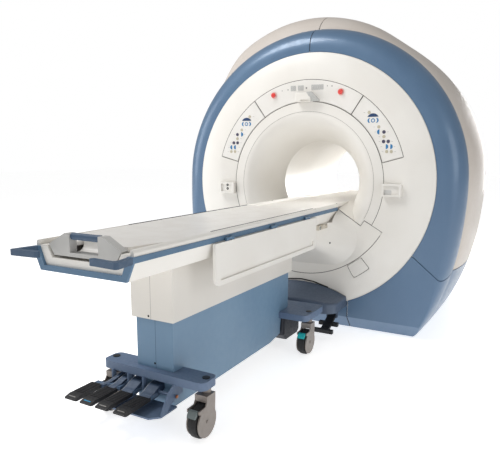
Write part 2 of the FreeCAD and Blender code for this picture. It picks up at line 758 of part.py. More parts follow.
def band(y0, y1, outer_half, inset, thickness):
    """A flat hoop that follows the cover section."""
    outer = arch(y0, outer_half, inset)
    inner = arch(y0, outer_half, inset + thickness, 0.0, 0.0, -5.0)
    length = Vector(0, y1 - y0, 0)
    solid = Part.Face(outer).extrude(length)
    return solid.cut(Part.Face(inner).extrude(length))


def build_cover_frame():
    """Hoops that the covers are screwed to, with their brackets on the magnet."""
    seam = RIM_Y + size("bezel_depth")
    clear = WALL + size("frame_gap")
    deep = size("frame_depth")
    front = band(seam - 14, seam + 16, size("cover_front_half_width"), clear, deep)
    rear_y = RIM_Y + size("gantry_depth") - size("rear_round")
    rear = band(rear_y - 26, rear_y + 1, cover_half_width(1.0), clear, deep)
    frame = front.fuse(rear)
    near = -size("vessel_length") / 2
    for angle in (-90, -50, 50, 90):
        for y0, y1, half in (
            (seam - 10, near - GAP, size("cover_front_half_width")),
            (-near + GAP, rear_y - 4, cover_half_width(1.0)),
        ):
            low = size("vessel_radius") - size("foot_width") / 2
            wide = size("bracket_half_width")
            arm = slab(-wide, wide, y0, y1, low, half - clear - 4)
            arm.rotate(Vector(0, 0, 0), TUNNEL, angle)
            arm.translate(Vector(0, 0, AXIS_Z))
            frame = frame.fuse(arm)
    fixed("cover_frame", frame)


# Fascias, flares and panels

def flare_line(grow):
    """The flare from its lip to the tunnel, as (radius, depth behind the rim plane)."""
    lip = size("lip_radius")
    wide = lip - size("tunnel_radius")
    start = -size("collar_height")
    run = size("flare_depth") - start
    steps = 8
    line = []
    for i in range(steps + 1):
        share = (i / steps) ** 2
        line.append((lip - wide * share ** 0.52 + grow, start + run * share))
    return line


def flare_shell():
    """The flare alone, full circle."""
    front = flare_line(0.0)
    back = flare_line(WALL)
    return swung(section(front, back))


def inset_panel(inner, outer, start, end, round_corner=0.0):
    """A flush panel with an open line round it."""
    gap = size("panel_gap")
    lean = math.degrees(gap / ((inner + outer) / 2))
    panel = skin(inner + gap, outer - gap, 0.0, WALL - 0.5 - GAP, start + lean, end - lean)
    if round_corner:
        edges = [edge for edge in panel.Edges if lengthwise(edge)]
        panel = panel.makeFillet(round_corner, edges)
    return panel


def seat(inner, outer, start, end):
    """The ledge behind a panel and the window that is cut for the panel."""
    lap = size("lap_width")
    lean = math.degrees(lap / ((inner + outer) / 2))
    ledge = skin(inner - lap, outer + lap, WALL - 0.5, WALL, start - lean, end + lean)
    window = skin(inner, outer, -20.0, WALL - 0.5 + 20.0, start, end)
    return ledge, window


def build_front():
    collar = size("collar_radius")
    ring = size("ring_radius")
    gap = size("panel_gap")
    rim = size("rim_radius")
    bib = size("bib_angle")
    face = skin(collar + gap, rim - 2.5)
    lip = ring_block(rim - 12, rim + 10, WALL + GAP, 2 * WALL)
    web = ring_block(rim - 12, rim - 3, -size("dome_edge") + 2, 2 * WALL)
    face = face.fuse(lip.fuse(web))
    display = size("display_angle")
    control = display + size("control_angle")
    ledge, window = seat(collar + gap, ring, -control, control)
    inside = ring_block(collar - 4 * size("lap_width"), collar + gap, -2 * size("dome_height"),
                        size("dome_height"))
    face = face.cut(window).fuse(ledge.cut(inside))
    hold = ring_block(collar - 12, collar + gap + 6, -size("collar_height") + WALL - 0.5,
                      -size("collar_height") + 2 * WALL)
    face = face.fuse(hold)
    bib_ledge, bib_window = seat(collar - 60, size("bib_radius") + gap, bib, 360 - bib)
    face = face.cut(bib_window).fuse(bib_ledge)
    flap_in = size("flap_inner_radius")
    flap_out = size("flap_outer_radius")
    start = size("flap_start_angle")
    end = size("flap_end_angle")
    flap_ledge, flap_window = seat(flap_in, flap_out, start, end)
    face = face.cut(flap_window).fuse(flap_ledge)
    fixed("access_flap", inset_panel(flap_in, flap_out, start, end, size("flap_round")))

    stems = []
    for side in (-1, 1):
        stems.append(Part.makeCylinder(
            size("stop_stem_radius") + GAP, 80,
            Vector(side * size("stop_x"), RIM_Y - 60, size("stop_height")), TUNNEL))
    holes = stems[0].fuse(stems[1])
    face = face.cut(holes)
    panel = inset_panel(collar + gap, ring, -display, display)
    fixed("display_panel", panel.cut(holes))
    fixed("control_panel_right", inset_panel(collar + gap, ring, display, control))
    fixed("control_panel_left", inset_panel(collar + gap, ring, -control, -display))

    fixed("front_fascia", face.removeSplitter())

    flare = flare_shell()
    collar_ring = skin(size("lip_radius") - 3, collar, 0.0, WALL - 0.5 - GAP, -bib + 0.4, bib - 0.4)
    flare = flare.fuse(collar_ring)
    flare = flare.cut(ring_block(size("bib_inner_radius") - 6, size("bib_step_radius") + 2,
                                 -size("collar_height") - 2, -size("collar_height") + WALL,
                                 size("bib_inner_angle") - 0.4, 360.4 - size("bib_inner_angle")))
    flare = flare.fuse(ramps())
    fixed("front_bore_flare", flare)


def ramps():
    """Flat ramps beside the bridge, inside the lower half of the flare."""
    front = RIM_Y - size("collar_height")
    rear = RIM_Y + size("flare_depth")
    reach = math.radians(size("bib_inner_angle"))
    inner = size("bib_inner_radius")
    outer = size("bib_step_radius")
    high = size("table_top_height")
    near = Vector(inner * math.sin(reach), front, AXIS_Z + inner * math.cos(reach))
    wide = Vector(outer * math.sin(reach), front, AXIS_Z + outer * math.cos(reach))
    deep = Vector(math.sqrt(size("tunnel_radius") ** 2 - (AXIS_Z - high) ** 2), rear, high)
    normal = (wide - near).cross(deep - near).normalize()
    if normal.z < 0:
        normal = normal * -1
    below = half_space(near, normal * -1)
    under = half_space(near - normal * WALL, normal * -1)
    plate = below.cut(under)
    line = flare_line(WALL / 2)
    room = swung(section(line, [(0.0, line[0][1]), (0.0, line[-1][1])]))
    keep = slab(size("tray_half_width") + 2, FULL / 2, front + WALL + 0.5, rear, 0, AXIS_Z)
    right = room.common(plate).common(keep)
    return right.fuse(right.mirror(Vector(0, 0, 0), Vector(1, 0, 0)))


def crowned(y, half_width, bottom, shoulder, top):
    """A section with upright sides and an arched top."""
    left = Vector(-half_width, y, shoulder)
    right = Vector(half_width, y, shoulder)
    edges = [
        Part.makeLine(Vector(-half_width, y, bottom), left),
        Part.Arc(left, Vector(0, y, top), right).toShape(),
        Part.makeLine(right, Vector(half_width, y, bottom)),
        Part.makeLine(Vector(half_width, y, bottom), Vector(-half_width, y, bottom)),
    ]
    return Part.Wire(edges)


def build_rear():
    """The rear fascia, with its flare in one piece."""
    rim = size("rear_rim_radius")
    bulge = size("collar_height")
    depth = size("gantry_depth")
    front = [(rim - 3, depth + 2), (rim - 60, depth + bulge * 0.6), (rim - 160, depth + bulge),
             (size("lip_radius") + 40, depth + bulge), (size("lip_radius"), depth + bulge)]
    back = [(radius, y - WALL) for radius, y in front]
    face = swung(section(front, back))
    line = [(radius, depth - y) for radius, y in flare_line(0.0)]
    deep = [(radius, depth - y) for radius, y in flare_line(WALL)]
    flare = swung(section(line, deep))
    edge = ring_block(rim - 14, rim + 12, depth - 2 * WALL - 3, depth - WALL - GAP - 3)
    web = ring_block(rim - 14, rim - 3, depth - 2 * WALL - 3, depth - 2)
    fixed("rear_fascia", face.fuse(flare).fuse(edge.fuse(web)))


def rounded_section(y, half_width, bottom, top, corner):
    """A rounded rectangle across the tunnel."""
    low = bottom + corner
    high = top - corner
    wide = half_width - corner
    slant = corner * math.sqrt(0.5)
    spots = []
    for sx, sz in ((1, -1), (1, 1), (-1, 1), (-1, -1)):
        middle = Vector(sx * wide, y, low if sz < 0 else high)
        along = Vector(sx * corner, 0, 0)
        up = Vector(0, 0, sz * corner)
        first, last = (up, along) if sx * sz < 0 else (along, up)
        spots.append((middle + first, middle + Vector(sx * slant, 0, sz * slant), middle + last))
    edges = []
    for i, (first, mid, last) in enumerate(spots):
        edges.append(Part.Arc(first, mid, last).toShape())
        edges.append(Part.makeLine(last, spots[(i + 1) % 4][0]))
    return Part.Wire(edges)


def snout(inset):
    """The tapering snout under the bridge, or its hollow."""
    reach = size("snout_reach")
    wide = size("snout_half_width")
    tip = size("snout_tip_half_width")
    low = size("snout_bottom")
    tip_low = size("snout_tip_bottom")
    corner = size("snout_round")
    tip_corner = size("snout_tip_round")
    top = size("table_top_height")
    wires = []
    start = size("collar_height")
    for share in (0.0, 0.2, 0.54, 1.0):
        ease = 1 - (1 - share) ** 4
        y = RIM_Y - start - (reach - start) * share
        if share == 0.0:
            y += 2.0 if inset else 0.0
        if share == 1.0:
            y += inset
        half = wide + (tip - wide) * ease - inset
        floor = low + (tip_low - low) * share ** 0.65 + inset
        bend = corner + (tip_corner - corner) * ease - inset * 0.5
        wires.append(rounded_section(y, half, floor, top - 47 - inset, bend))
    return loft(wires)


def under_bridge(drop):
    """The room of the bridge's nose, with its underside lowered and its sides moved out by drop."""
    half = size("tray_half_width") + size("nose_side_gap") + drop
    low = size("table_top_height") - size("tray_depth") - drop
    high = size("table_top_height") - size("stripe_top") - size("stripe_height")
    foot = RIM_Y - size("nose_slope_bottom") + drop
    top = RIM_Y - size("nose_slope_top") + drop
    face = Part.Face(Part.makePolygon([
        Vector(-half, RIM_Y - FULL / 2, low),
        Vector(-half, foot, low),
        Vector(-half, top, high),
        Vector(-half, RIM_Y + FULL / 2, high),
        Vector(-half, RIM_Y + FULL / 2, FULL / 2),
        Vector(-half, RIM_Y - FULL / 2, FULL / 2),
        Vector(-half, RIM_Y - FULL / 2, low),
    ]))
    return face.extrude(Vector(2 * half, 0, 0))


def build_lower_cover():
    gap = size("panel_gap")
    angle = size("bib_angle")
    inner_angle = size("bib_inner_angle")
    thick = WALL - 0.5 - GAP
    wide = skin(size("bib_step_radius"), size("bib_radius"), 0.0, thick, angle, 360 - angle)
    corners = [edge for edge in wide.Edges
               if lengthwise(edge) and math.hypot(edge.CenterOfMass.x,
                                                  edge.CenterOfMass.z - AXIS_Z) > size("bib_radius") - gap]
    wide = wide.makeFillet(size("bib_round"), corners)
    fan = ring_block(size("bib_inner_radius"), size("bib_step_radius") + 0.5, -size("collar_height"),
                     -size("collar_height") + thick, inner_angle, 360 - inner_angle)
    form = snout(0.0)
    hollow = snout(WALL).cut(under_bridge(GAP + WALL))
    plate = wide.fuse(fan).cut(hollow)
    cover = plate.fuse(form.cut(hollow))
    cover = cover.cut(under_bridge(GAP))
    inner = size("tunnel_radius") - GAP
    foot = AXIS_Z - math.sqrt(inner ** 2 - size("bridge_foot_half_width") ** 2)
    beside = size("tray_half_width") + 1
    cover = cover.cut(slab(-beside, beside, RIM_Y - size("nose_slope_top") - 1, RIM_Y,
                           foot - 1, AXIS_Z))
    fixed("lower_front_cover", cover)

    length = size("socket_length")
    high = size("socket_height")
    far = RIM_Y - size("socket_y")
    base = size("table_top_height") - size("tray_depth") - high - 3
    reach = size("tray_floor_half_width") + size("socket_reach")
    socket = slab(reach - 90, reach, far, far + length, base, base + high).cut(form)
    for share in (0.28, 0.72):
        spot = Vector(reach - 1, far + length * share, base + high / 2)
        collar = Part.makeCylinder(high * 0.42, 9, spot, Vector(1, 0, 0))
        bore = Part.makeCylinder(high * 0.26, 12, spot + Vector(6, 0, 0), Vector(1, 0, 0))
        socket = socket.fuse(collar).cut(bore)
    other = socket.mirror(Vector(0, 0, 0), Vector(1, 0, 0))
    fixed("coil_sockets", Part.makeCompound(socket.Solids + other.Solids))


def build_fascia_parts():
    front = FRONT + " - {dome_height} - {fit_gap}"
    low = "{light_offset} - {light_width} / 2"
    body = block("light_body", (low, low + " + {light_width}"),
                 (front + " - {light_depth}", front + " + 2"),
                 ("{light_bottom}", "{light_bottom} + {light_height}"))
    slot = block("light_slot", (low + " + 40", low + " + 96"),
                 (front + " - {light_depth} - 1", front + " - {light_depth} + 8"),
                 ("{light_bottom} + 4", "{light_bottom} + 14"))
    soft = DOC.addObject("Part::Fillet", "light_round")
    soft.Base = body
    DOC.recompute()
    front_edges = []
    for i, edge in enumerate(body.Shape.Edges):
        if edge.BoundBox.YMax < body.Shape.BoundBox.YMin + 1:
            front_edges.append((i + 1, 9.0, 9.0))
    soft.Edges = front_edges
    node(without("alignment_light", soft, [slot]), "alignment_light")

    boxes = []
    for side, rise in ((1, "0"), (-1, "0 - {port_height} / 4")):
        name = "port_right" if side > 0 else "port_left"
        near = "{port_inner}" if side > 0 else "-{port_inner} - {port_width}"
        z_low = "{port_bottom} + " + rise
        shell = block(name, (near, near + " + {port_width}"),
                      (front + " - {port_depth}", front), (z_low, z_low + " + {port_height}"))
        window = block(name + "_window", (near + " + 14", near + " + {port_width} - 14"),
                       (front + " - {port_depth} - 1", front + " - {port_depth} + 12"),
                       (z_low + " + 12", z_low + " + {port_height} - 12"))
        boxes.append(without(name + "_box", shell, [window]))
    node(joined("port_boxes", boxes), "port_boxes")

    for side, name in ((-1, "estop_left"), (1, "estop_right")):
        centre = ("%d * {stop_x}" % side, "{stop_height}")
        cap_back = FRONT + " - {dome_height} - {stop_travel} - 1"
        cap = rod(name + "_cap", "y", centre, "{stop_radius}", cap_back + " - {stop_cap_depth}",
                  "{stop_cap_depth}")
        stem = rod(name + "_stem", "y", centre, "{stop_stem_radius}", cap_back, "30")
        node(joined(name, [cap, stem]), name)


# Dock housing and its pedals

def dock_form(inset):
    """The dock housing, sloping down from the fascia to its front, or its hollow."""
    front = RIM_Y - size("dock_reach") + inset
    back = RIM_Y - size("dome_edge") - size("dock_gap") + inset
    half = size("dock_half_width") - inset
    bottom = size("dock_bottom") - inset
    shoulder = size("dock_shoulder") - inset
    form = loft([
        crowned(front, half, bottom, shoulder - 4, size("dock_front_top") - inset),
        crowned(back, half, bottom, shoulder, size("dock_top") - inset),
    ], True)
    posts = [edge for edge in form.Edges if upright(edge) and edge.CenterOfMass.y < front + 1]
    form = form.makeFillet(size("dock_corner") - inset, posts)
    if inset:
        return form
    brow = [edge for edge in form.Edges
            if edge.BoundBox.ZMin > bottom + 10 and edge.CenterOfMass.y < back - 5
            and not upright(edge)]
    return form.makeFillet(size("dock_edge"), brow)


def build_dock():
    housing = dock_form(0.0).cut(dock_form(WALL))
    front = RIM_Y - size("dock_reach")
    bottom = size("dock_bottom")
    reach = size("dock_half_width") - size("dock_corner") / 3
    plate = slab(-reach, reach, front + size("dock_corner") / 3, RIM_Y - size("dock_gap"),
                 bottom, bottom + size("dock_plate"))
    housing = housing.fuse(plate)
    pivot_y = RIM_Y - size("dock_pedal_y")
    pivot_z = size("dock_pedal_height")
    half = size("dock_lug_half")
    for side in (-1, 1):
        centre_x = side * size("dock_pedal_x")
        for lug_x in (centre_x - 38, centre_x + 30):
            lug = slab(lug_x, lug_x + 8, pivot_y - half, pivot_y + half, pivot_z - half, bottom + 4)
            housing = housing.fuse(lug)
        shaft = Part.makeCylinder(size("pedal_shaft_radius"), 76,
                                  Vector(centre_x - 38, pivot_y, pivot_z), Vector(1, 0, 0))
        housing = housing.fuse(shaft)
    fascia = skin(size("bib_step_radius"), size("rim_radius") - 1, -size("dock_gap"), 100.0)
    fixed("dock_housing", housing.cut(fascia))

    for side, label in ((-1, "dock_pedal_left"), (1, "dock_pedal_right")):
        middle = "%d * {dock_pedal_x}" % side
        near = middle + " - {dock_arm_width} / 2"
        pivot = ahead("{dock_pedal_y}")
        tip = ahead("{dock_pedal_reach}")
        high = "{dock_pedal_height}"
        arm = prism(label + "_arm", "YZ_Plane", [
            (pivot, high + " + {pedal_hub_radius} - 2"),
            (pivot, high + " - {pedal_hub_radius} + 2"),
            (tip + " + 60", high + " - 75"),
            (tip, high + " - 75"),
            (tip, high + " - 60"),
            (tip + " + 60", high + " - 52"),
        ], near, "{dock_arm_width}")
        wide = (middle + " - {dock_bar_half}", middle + " + {dock_bar_half}")
        bars = []
        for index, (back, up) in enumerate((("0", "0"), ("105", "22"))):
            bars.append(block("%s_bar_%d" % (label, index), wide,
                              (tip + " + " + back, tip + " + %s + {dock_bar_depth}" % back),
                              (high + " - 78 + " + up, high + " - 78 + %s + {dock_bar_height}" % up)))
        hub = rod(label + "_hub", "x", (pivot, high), "{pedal_hub_radius}", near,
                  "{dock_arm_width}")
        bore = rod(label + "_bore", "x", (pivot, high), "{pedal_shaft_radius} + {fit_gap}",
                   near + " - 1", "{dock_arm_width} + 2")
        node(without(label, joined(label + "_body", [arm, hub] + bars), [bore]), label)


# Bridge through the tunnel

RIM_TOP = "{table_top_height}"
STRIPE_HIGH = "{table_top_height} - {stripe_top}"
STRIPE_LOW = "{table_top_height} - {stripe_top} - {stripe_height}"
TRAY_UNDER = "{table_top_height} - {tray_depth}"
CHANNEL = "{table_top_height} - {channel_depth}"


def both_sides(half_profile):
    """A symmetric profile from its right half, top to bottom."""
    left = [("-(%s)" % across, up) for across, up in reversed(half_profile)]
    return half_profile + left


def build_bridge():
    nose_profile = both_sides([
        ("{tray_half_width} - {rim_width}", CHANNEL),
        ("{tray_half_width} - {rim_width}", RIM_TOP),
        ("{tray_half_width}", RIM_TOP),
        ("{tray_half_width}", STRIPE_HIGH),
        ("{tray_half_width} - {stripe_depth}", STRIPE_HIGH),
        ("{tray_half_width} - {stripe_depth}", STRIPE_LOW),
        ("{tray_half_width} - 3", STRIPE_LOW),
        ("{tray_floor_half_width}", TRAY_UNDER),
    ])
    nose = prism("bridge_nose", "XZ_Plane", nose_profile,
                 "-(%s)" % ahead("{nose_slope_top}"),
                 "{tray_head} - {bridge_gap} - {nose_slope_top}")
    wedge = prism("bridge_nose_end", "YZ_Plane", [
        (ahead("{nose_slope_bottom}"), TRAY_UNDER + " - 5"),
        (ahead("{nose_slope_bottom}"), TRAY_UNDER),
        (ahead("{nose_slope_top}"), STRIPE_LOW),
        (ahead("{nose_slope_top}") + " + 5", STRIPE_LOW),
        (ahead("{nose_slope_top}") + " + 5", TRAY_UNDER + " - 5"),
    ], "-300", "600")
    foot = "{bridge_foot_half_width}"
    touch = ("{isocentre_height} - sqrt(pow({tunnel_radius} - {fit_gap}; 2) - pow(%s; 2))" % foot)
    span_profile = both_sides([
        ("{tray_half_width} - {rim_width}", CHANNEL),
        ("{tray_half_width} - {rim_width}", RIM_TOP),
        ("{tray_half_width}", RIM_TOP),
        ("{tray_half_width}", STRIPE_HIGH + " + 2"),
        (foot, touch),
    ])
    span = prism("bridge_span", "XZ_Plane", span_profile,
                 "-({bridge_rear} - {gantry_depth} / 2)", "{bridge_rear} + {nose_slope_top}")
    bridge = without("bore_bridge", joined("bridge_body", [nose, span]), [wedge])
    node(bridge, "bore_bridge")
    stripe = prism("bridge_stripe_right", "XZ_Plane", [
        ("{tray_half_width} - {stripe_depth} + {fit_gap}", STRIPE_LOW + " + {fit_gap}"),
        ("{tray_half_width} + {stripe_stand}", STRIPE_LOW + " + {fit_gap}"),
        ("{tray_half_width} + {stripe_stand}", STRIPE_HIGH + " - {fit_gap}"),
        ("{tray_half_width} - {stripe_depth} + {fit_gap}", STRIPE_HIGH + " - {fit_gap}"),
    ], "-(%s)" % ahead("{nose_slope_top} + 4"),
        "{tray_head} - {bridge_gap} - {nose_slope_top} - 4")
    node(joined("bridge_stripes", [stripe, mirrored("bridge_stripe_left", stripe)]),
         "bridge_stripes")


# Table top

def build_tray():
    profile = both_sides([
        ("{well_floor_half_width}", "{table_top_height} - {well_depth}"),
        ("{well_half_width}", CHANNEL),
        ("{tray_half_width} - {rim_width}", CHANNEL),
        ("{tray_half_width} - {rim_width}", RIM_TOP),
        ("{tray_half_width}", RIM_TOP),
        ("{tray_half_width}", STRIPE_HIGH),
        ("{tray_half_width} - {stripe_depth}", STRIPE_HIGH),
        ("{tray_half_width} - {stripe_depth}", STRIPE_LOW),
        ("{tray_half_width} - 3", STRIPE_LOW),
        ("{tray_floor_half_width}", TRAY_UNDER),
    ])
    tray = prism("tray_body", "XZ_Plane", profile, "-(%s)" % ahead("{tray_head}"), "{tray_length}")
    top = size("table_top_height")
    half = size("tray_half_width")
    tray = rounded(tray, "{tray_round}", lambda edge: lengthwise(edge)
                   and abs(edge.CenterOfMass.z - top) < 0.1
                   and abs(abs(edge.CenterOfMass.x) - half) < 0.1)
    lugs = []
    pins = []
    notches = []
    axis_x = "{tray_half_width} + {stripe_stand} + {hinge_stand}"
    axis_z = "{table_top_height} - {hinge_fall}"
    for index in range(3):
        middle = ahead("{guard_head} + {guard_length} / 2 + %d * {hinge_spacing}" % (index - 1))
        y_range = (middle + " - {hinge_lug_half}", middle + " + {hinge_lug_half}")
        for side in (1, -1):
            name = "guard_lug_%d_%s" % (index, "right" if side > 0 else "left")
            inner = "{tray_half_width} - {stripe_depth} - 4"
            outer = axis_x + " + 6"
            x_range = (inner, outer) if side > 0 else ("-(%s)" % outer, "-(%s)" % inner)
            lugs.append(block(name, x_range, y_range, (axis_z + " - 6", axis_z + " + 6")))
            reach = "{hinge_lug_half} + {hinge_knuckle_width} + 2"
            pins.append(rod(name + "_pin", "y", ("%d * (%s)" % (side, axis_x), axis_z),
                            "{hinge_pin_radius}", middle + " - (%s)" % reach, "2 * (%s)" % reach))
            wide = (y_range[0] + " - 1", y_range[1] + " + 1")
            notches.append(block(name + "_notch", x_range, wide,
                                 (axis_z + " - 7", axis_z + " + 7")))
    node(joined("table_tray", [tray] + lugs + pins), "table_tray")

    stripe = prism("tray_stripe_right", "XZ_Plane", [
        ("{tray_half_width} - {stripe_depth} + {fit_gap}", STRIPE_LOW + " + {fit_gap}"),
        ("{tray_half_width} + {stripe_stand}", STRIPE_LOW + " + {fit_gap}"),
        ("{tray_half_width} + {stripe_stand}", STRIPE_HIGH + " - {fit_gap}"),
        ("{tray_half_width} - {stripe_depth} + {fit_gap}", STRIPE_HIGH + " - {fit_gap}"),
    ], "-(%s)" % ahead("{tray_head}"), "{tray_length}")
    high = "{table_top_height} - {hinge_fall} - 1"
    frame_y = "-(%s)" % ahead("{tray_head} + {tray_length}")
    frame = prism("foot_frame", "XZ_Plane", both_sides([
        ("{well_half_width} + 6", STRIPE_HIGH),
        ("{frame_half_width}", STRIPE_HIGH),
        ("{frame_half_width}", high),
        ("{tray_floor_half_width}", TRAY_UNDER),
    ]), frame_y, "{frame_thickness}")
    bite = prism("foot_frame_bite", "XZ_Plane", both_sides([
        ("{frame_half_width} - {frame_band} - 8", STRIPE_HIGH + " + 30"),
        ("{frame_half_width} - {frame_band} - 8", STRIPE_HIGH + " - 5"),
        ("{tray_floor_half_width} - {frame_band}", TRAY_UNDER + " + {frame_band}"),
    ]), frame_y + " - 1", "{frame_thickness} + 2")
    foot_frame = without("foot_frame_cut", frame, [bite])
    bumper = joined("bumper_body", [stripe, mirrored("tray_stripe_left", stripe), foot_frame])
    node(without("edge_bumper", bumper, notches), "edge_bumper")

    start = ahead("{tray_head} + {tray_length} + {frame_thickness}")
    far = start + " - {push_reach} - {push_bar} / 2"
    handle = prism("push_handle_right", "XY_Plane", [
        ("{frame_half_width} - {push_bar}", start),
        ("{frame_half_width}", start),
        ("{push_half_width}", far),
        ("{push_open_half}", far + " + 12"),
        ("{push_open_half}", far + " + 12 + {push_bar}"),
        ("{push_half_width} - {push_bar} - 4", far + " + {push_bar}"),
    ], STRIPE_LOW, "{stripe_height}")
    handle = rounded(handle, "{push_round}", lambda edge: upright(edge)
                     and edge.CenterOfMass.y < RIM_Y - size("tray_head") - size("tray_length")
                     - size("frame_thickness") - 20)
    node(joined("push_handles", [handle, mirrored("push_handle_left", handle)]), "push_handles")


def build_guards():
    axis_x = "{tray_half_width} + {stripe_stand} + {hinge_stand}"
    axis_z = "{table_top_height} - {hinge_fall}"
    top = axis_z + " - {hinge_knuckle_radius} - 3"
    low = top + " - {guard_height}"
    inner = axis_x + " - {guard_thickness} / 2"
    head = ahead("{guard_head}")
    foot = ahead("{guard_head} + {guard_length}")
    panel = prism("guard_panel", "YZ_Plane", [(head, top), (foot, top), (foot, low), (head, low)],
                  inner, "{guard_thickness}")
    bottom = size("table_top_height") - size("hinge_fall") - size("guard_height")
    panel = rounded(panel, "{guard_round}", lambda edge: crosswise(edge)
                    and edge.CenterOfMass.z < bottom + 5)
    outer = inner + " + {guard_thickness}"
    slot = prism("guard_slot", "YZ_Plane", [
        (head + " - {guard_slot_margin}", low + " + {guard_slot_rise}"),
        (foot + " + {guard_slot_margin}", low + " + {guard_slot_rise}"),
        (foot + " + {guard_slot_margin}", low + " + {guard_slot_rise} + {guard_slot_height}"),
        (head + " - {guard_slot_margin}", low + " + {guard_slot_rise} + {guard_slot_height}"),
    ], outer + " - {guard_slot_depth}", "{guard_slot_depth} + 1")
    solids = [panel]
    bores = [slot]
    for index in range(3):
        middle = ahead("{guard_head} + {guard_length} / 2 + %d * {hinge_spacing}" % (index - 1))
        for sign in (1, -1):
            name = "guard_knuckle_%d_%s" % (index, "near" if sign > 0 else "far")
            near = "{hinge_lug_half} + 1"
            low_y = middle + (" + %s" % near if sign > 0 else " - (%s) - {hinge_knuckle_width}" % near)
            solids.append(rod(name, "y", (axis_x, axis_z), "{hinge_knuckle_radius}", low_y,
                              "{hinge_knuckle_width}"))
            solids.append(block(name + "_web", (axis_x + " - 5", axis_x + " + 5"),
                                (low_y, low_y + " + {hinge_knuckle_width}"), (top + " - 4", axis_z)))
            bores.append(rod(name + "_bore", "y", (axis_x, axis_z), "{hinge_pin_radius} + {fit_gap}",
                             low_y + " - 1", "{hinge_knuckle_width} + 2"))
    right = without("side_guard_right", joined("guard_body", solids), bores)
    node(right, "side_guard_right")
    node(mirrored("side_guard_left", right), "side_guard_left")


def build_cradle():
    foot = ahead("{tray_head} + {tray_length}") + " + 6 + {handle_thickness} + {fit_gap}"
    head = ahead("{tray_head}") + " - 4"
    half = "{cradle_half_width}"
    plan = both_sides([
        (half, head),
        (half, foot + " + {cradle_taper}"),
        ("{cradle_foot_half_width}", foot),
    ])
    plate = prism("cradle_plate", "XY_Plane", plan, CHANNEL + " + {fit_gap}",
                  "{channel_depth} - {fit_gap} - {cradle_side_gap}")
    dish_radius = "(pow({cradle_foot_half_width}; 2) / (2 * {cradle_dish}))"
    dish = rod("cradle_dish_tool", "y", ("0", RIM_TOP + " - {cradle_side_gap} - {cradle_dish} + "
                                         + dish_radius), dish_radius, foot + " - 10",
               "{tray_length} + 20")
    notch = block("cradle_notch", ("-{handle_open_half} - 10", "{handle_open_half} + 10"),
                  (foot + " - 10", foot + " + {finger_room}"), (CHANNEL, RIM_TOP + " + 10"))
    node(without("cradle", plate, [dish, notch]), "cradle")

    rims = "{table_top_height}"
    handle_y = "-(%s + 6 + {handle_thickness})" % ahead("{tray_head} + {tray_length}")
    profile = both_sides([
        ("{handle_open_half}", rims + " - {handle_open_fall}"),
        ("{handle_open_half}", rims + " + {handle_rise}"),
        ("{handle_top_half}", rims + " + {handle_rise}"),
        ("{handle_mid_half}", rims + " - {channel_depth} + 6"),
        ("{handle_low_half}", rims + " - {handle_fall}"),
    ])
    frame = prism("handle_frame", "XZ_Plane", profile, handle_y, "{handle_thickness}")
    frame = rounded(frame, "5", lambda edge: lengthwise(edge)
                    and edge.CenterOfMass.z > size("table_top_height") + 20)
    middle = ahead("{tray_head} + {tray_length}") + " + 6 + {handle_thickness} / 2"
    bar = rod("handle_bar", "x", (middle, rims + " + {grip_rise}"), "{grip_bar_radius}",
              "-{handle_open_half} - 5", "2 * {handle_open_half} + 10")
    node(joined("cradle_handle", [frame, bar]), "cradle_handle")
    sleeve = rod("grip_sleeve", "x", (middle, rims + " + {grip_rise}"), "{grip_radius}",
                 "-{handle_open_half} + {fit_gap}", "2 * {handle_open_half} - 2 * {fit_gap}")
    hole = rod("grip_hole", "x", (middle, rims + " + {grip_rise}"),
               "{grip_bar_radius} + {fit_gap}", "-{handle_open_half} - 1",
               "2 * {handle_open_half} + 2")
    node(without("cradle_grip", sleeve, [hole]), "cradle_grip")


# Foot pedals: letter, middle of the pad and middle of its arm
PEDALS = [("a", -275, -199), ("b", -181, -159), ("c", -88, -74), ("d", 17, 31)]
PEDAL_LUGS = ("-229", "-{pan_left}", "-42")


# Columns and chassis

def column_side(grow):
    """The lower column cover seen from the side, drawn in by grow."""
    head = ahead("{column_head} + (%s)" % grow)
    foot = ahead("{column_head} + {column_length} - (%s)" % grow)
    return [
        (head, "{column_top} + 1"),
        (head, "{column_chin}"),
        (ahead("{column_head} + 100 + (%s)" % grow), "{column_chin} - 47"),
        (ahead("{column_head} + 115 + (%s)" % grow), "{column_bottom} + 22"),
        (ahead("{column_head} + 250 + (%s)" % grow), "{column_bottom}"),
        (foot, "{column_bottom}"),
        (foot, "{column_top} + 1"),
    ]


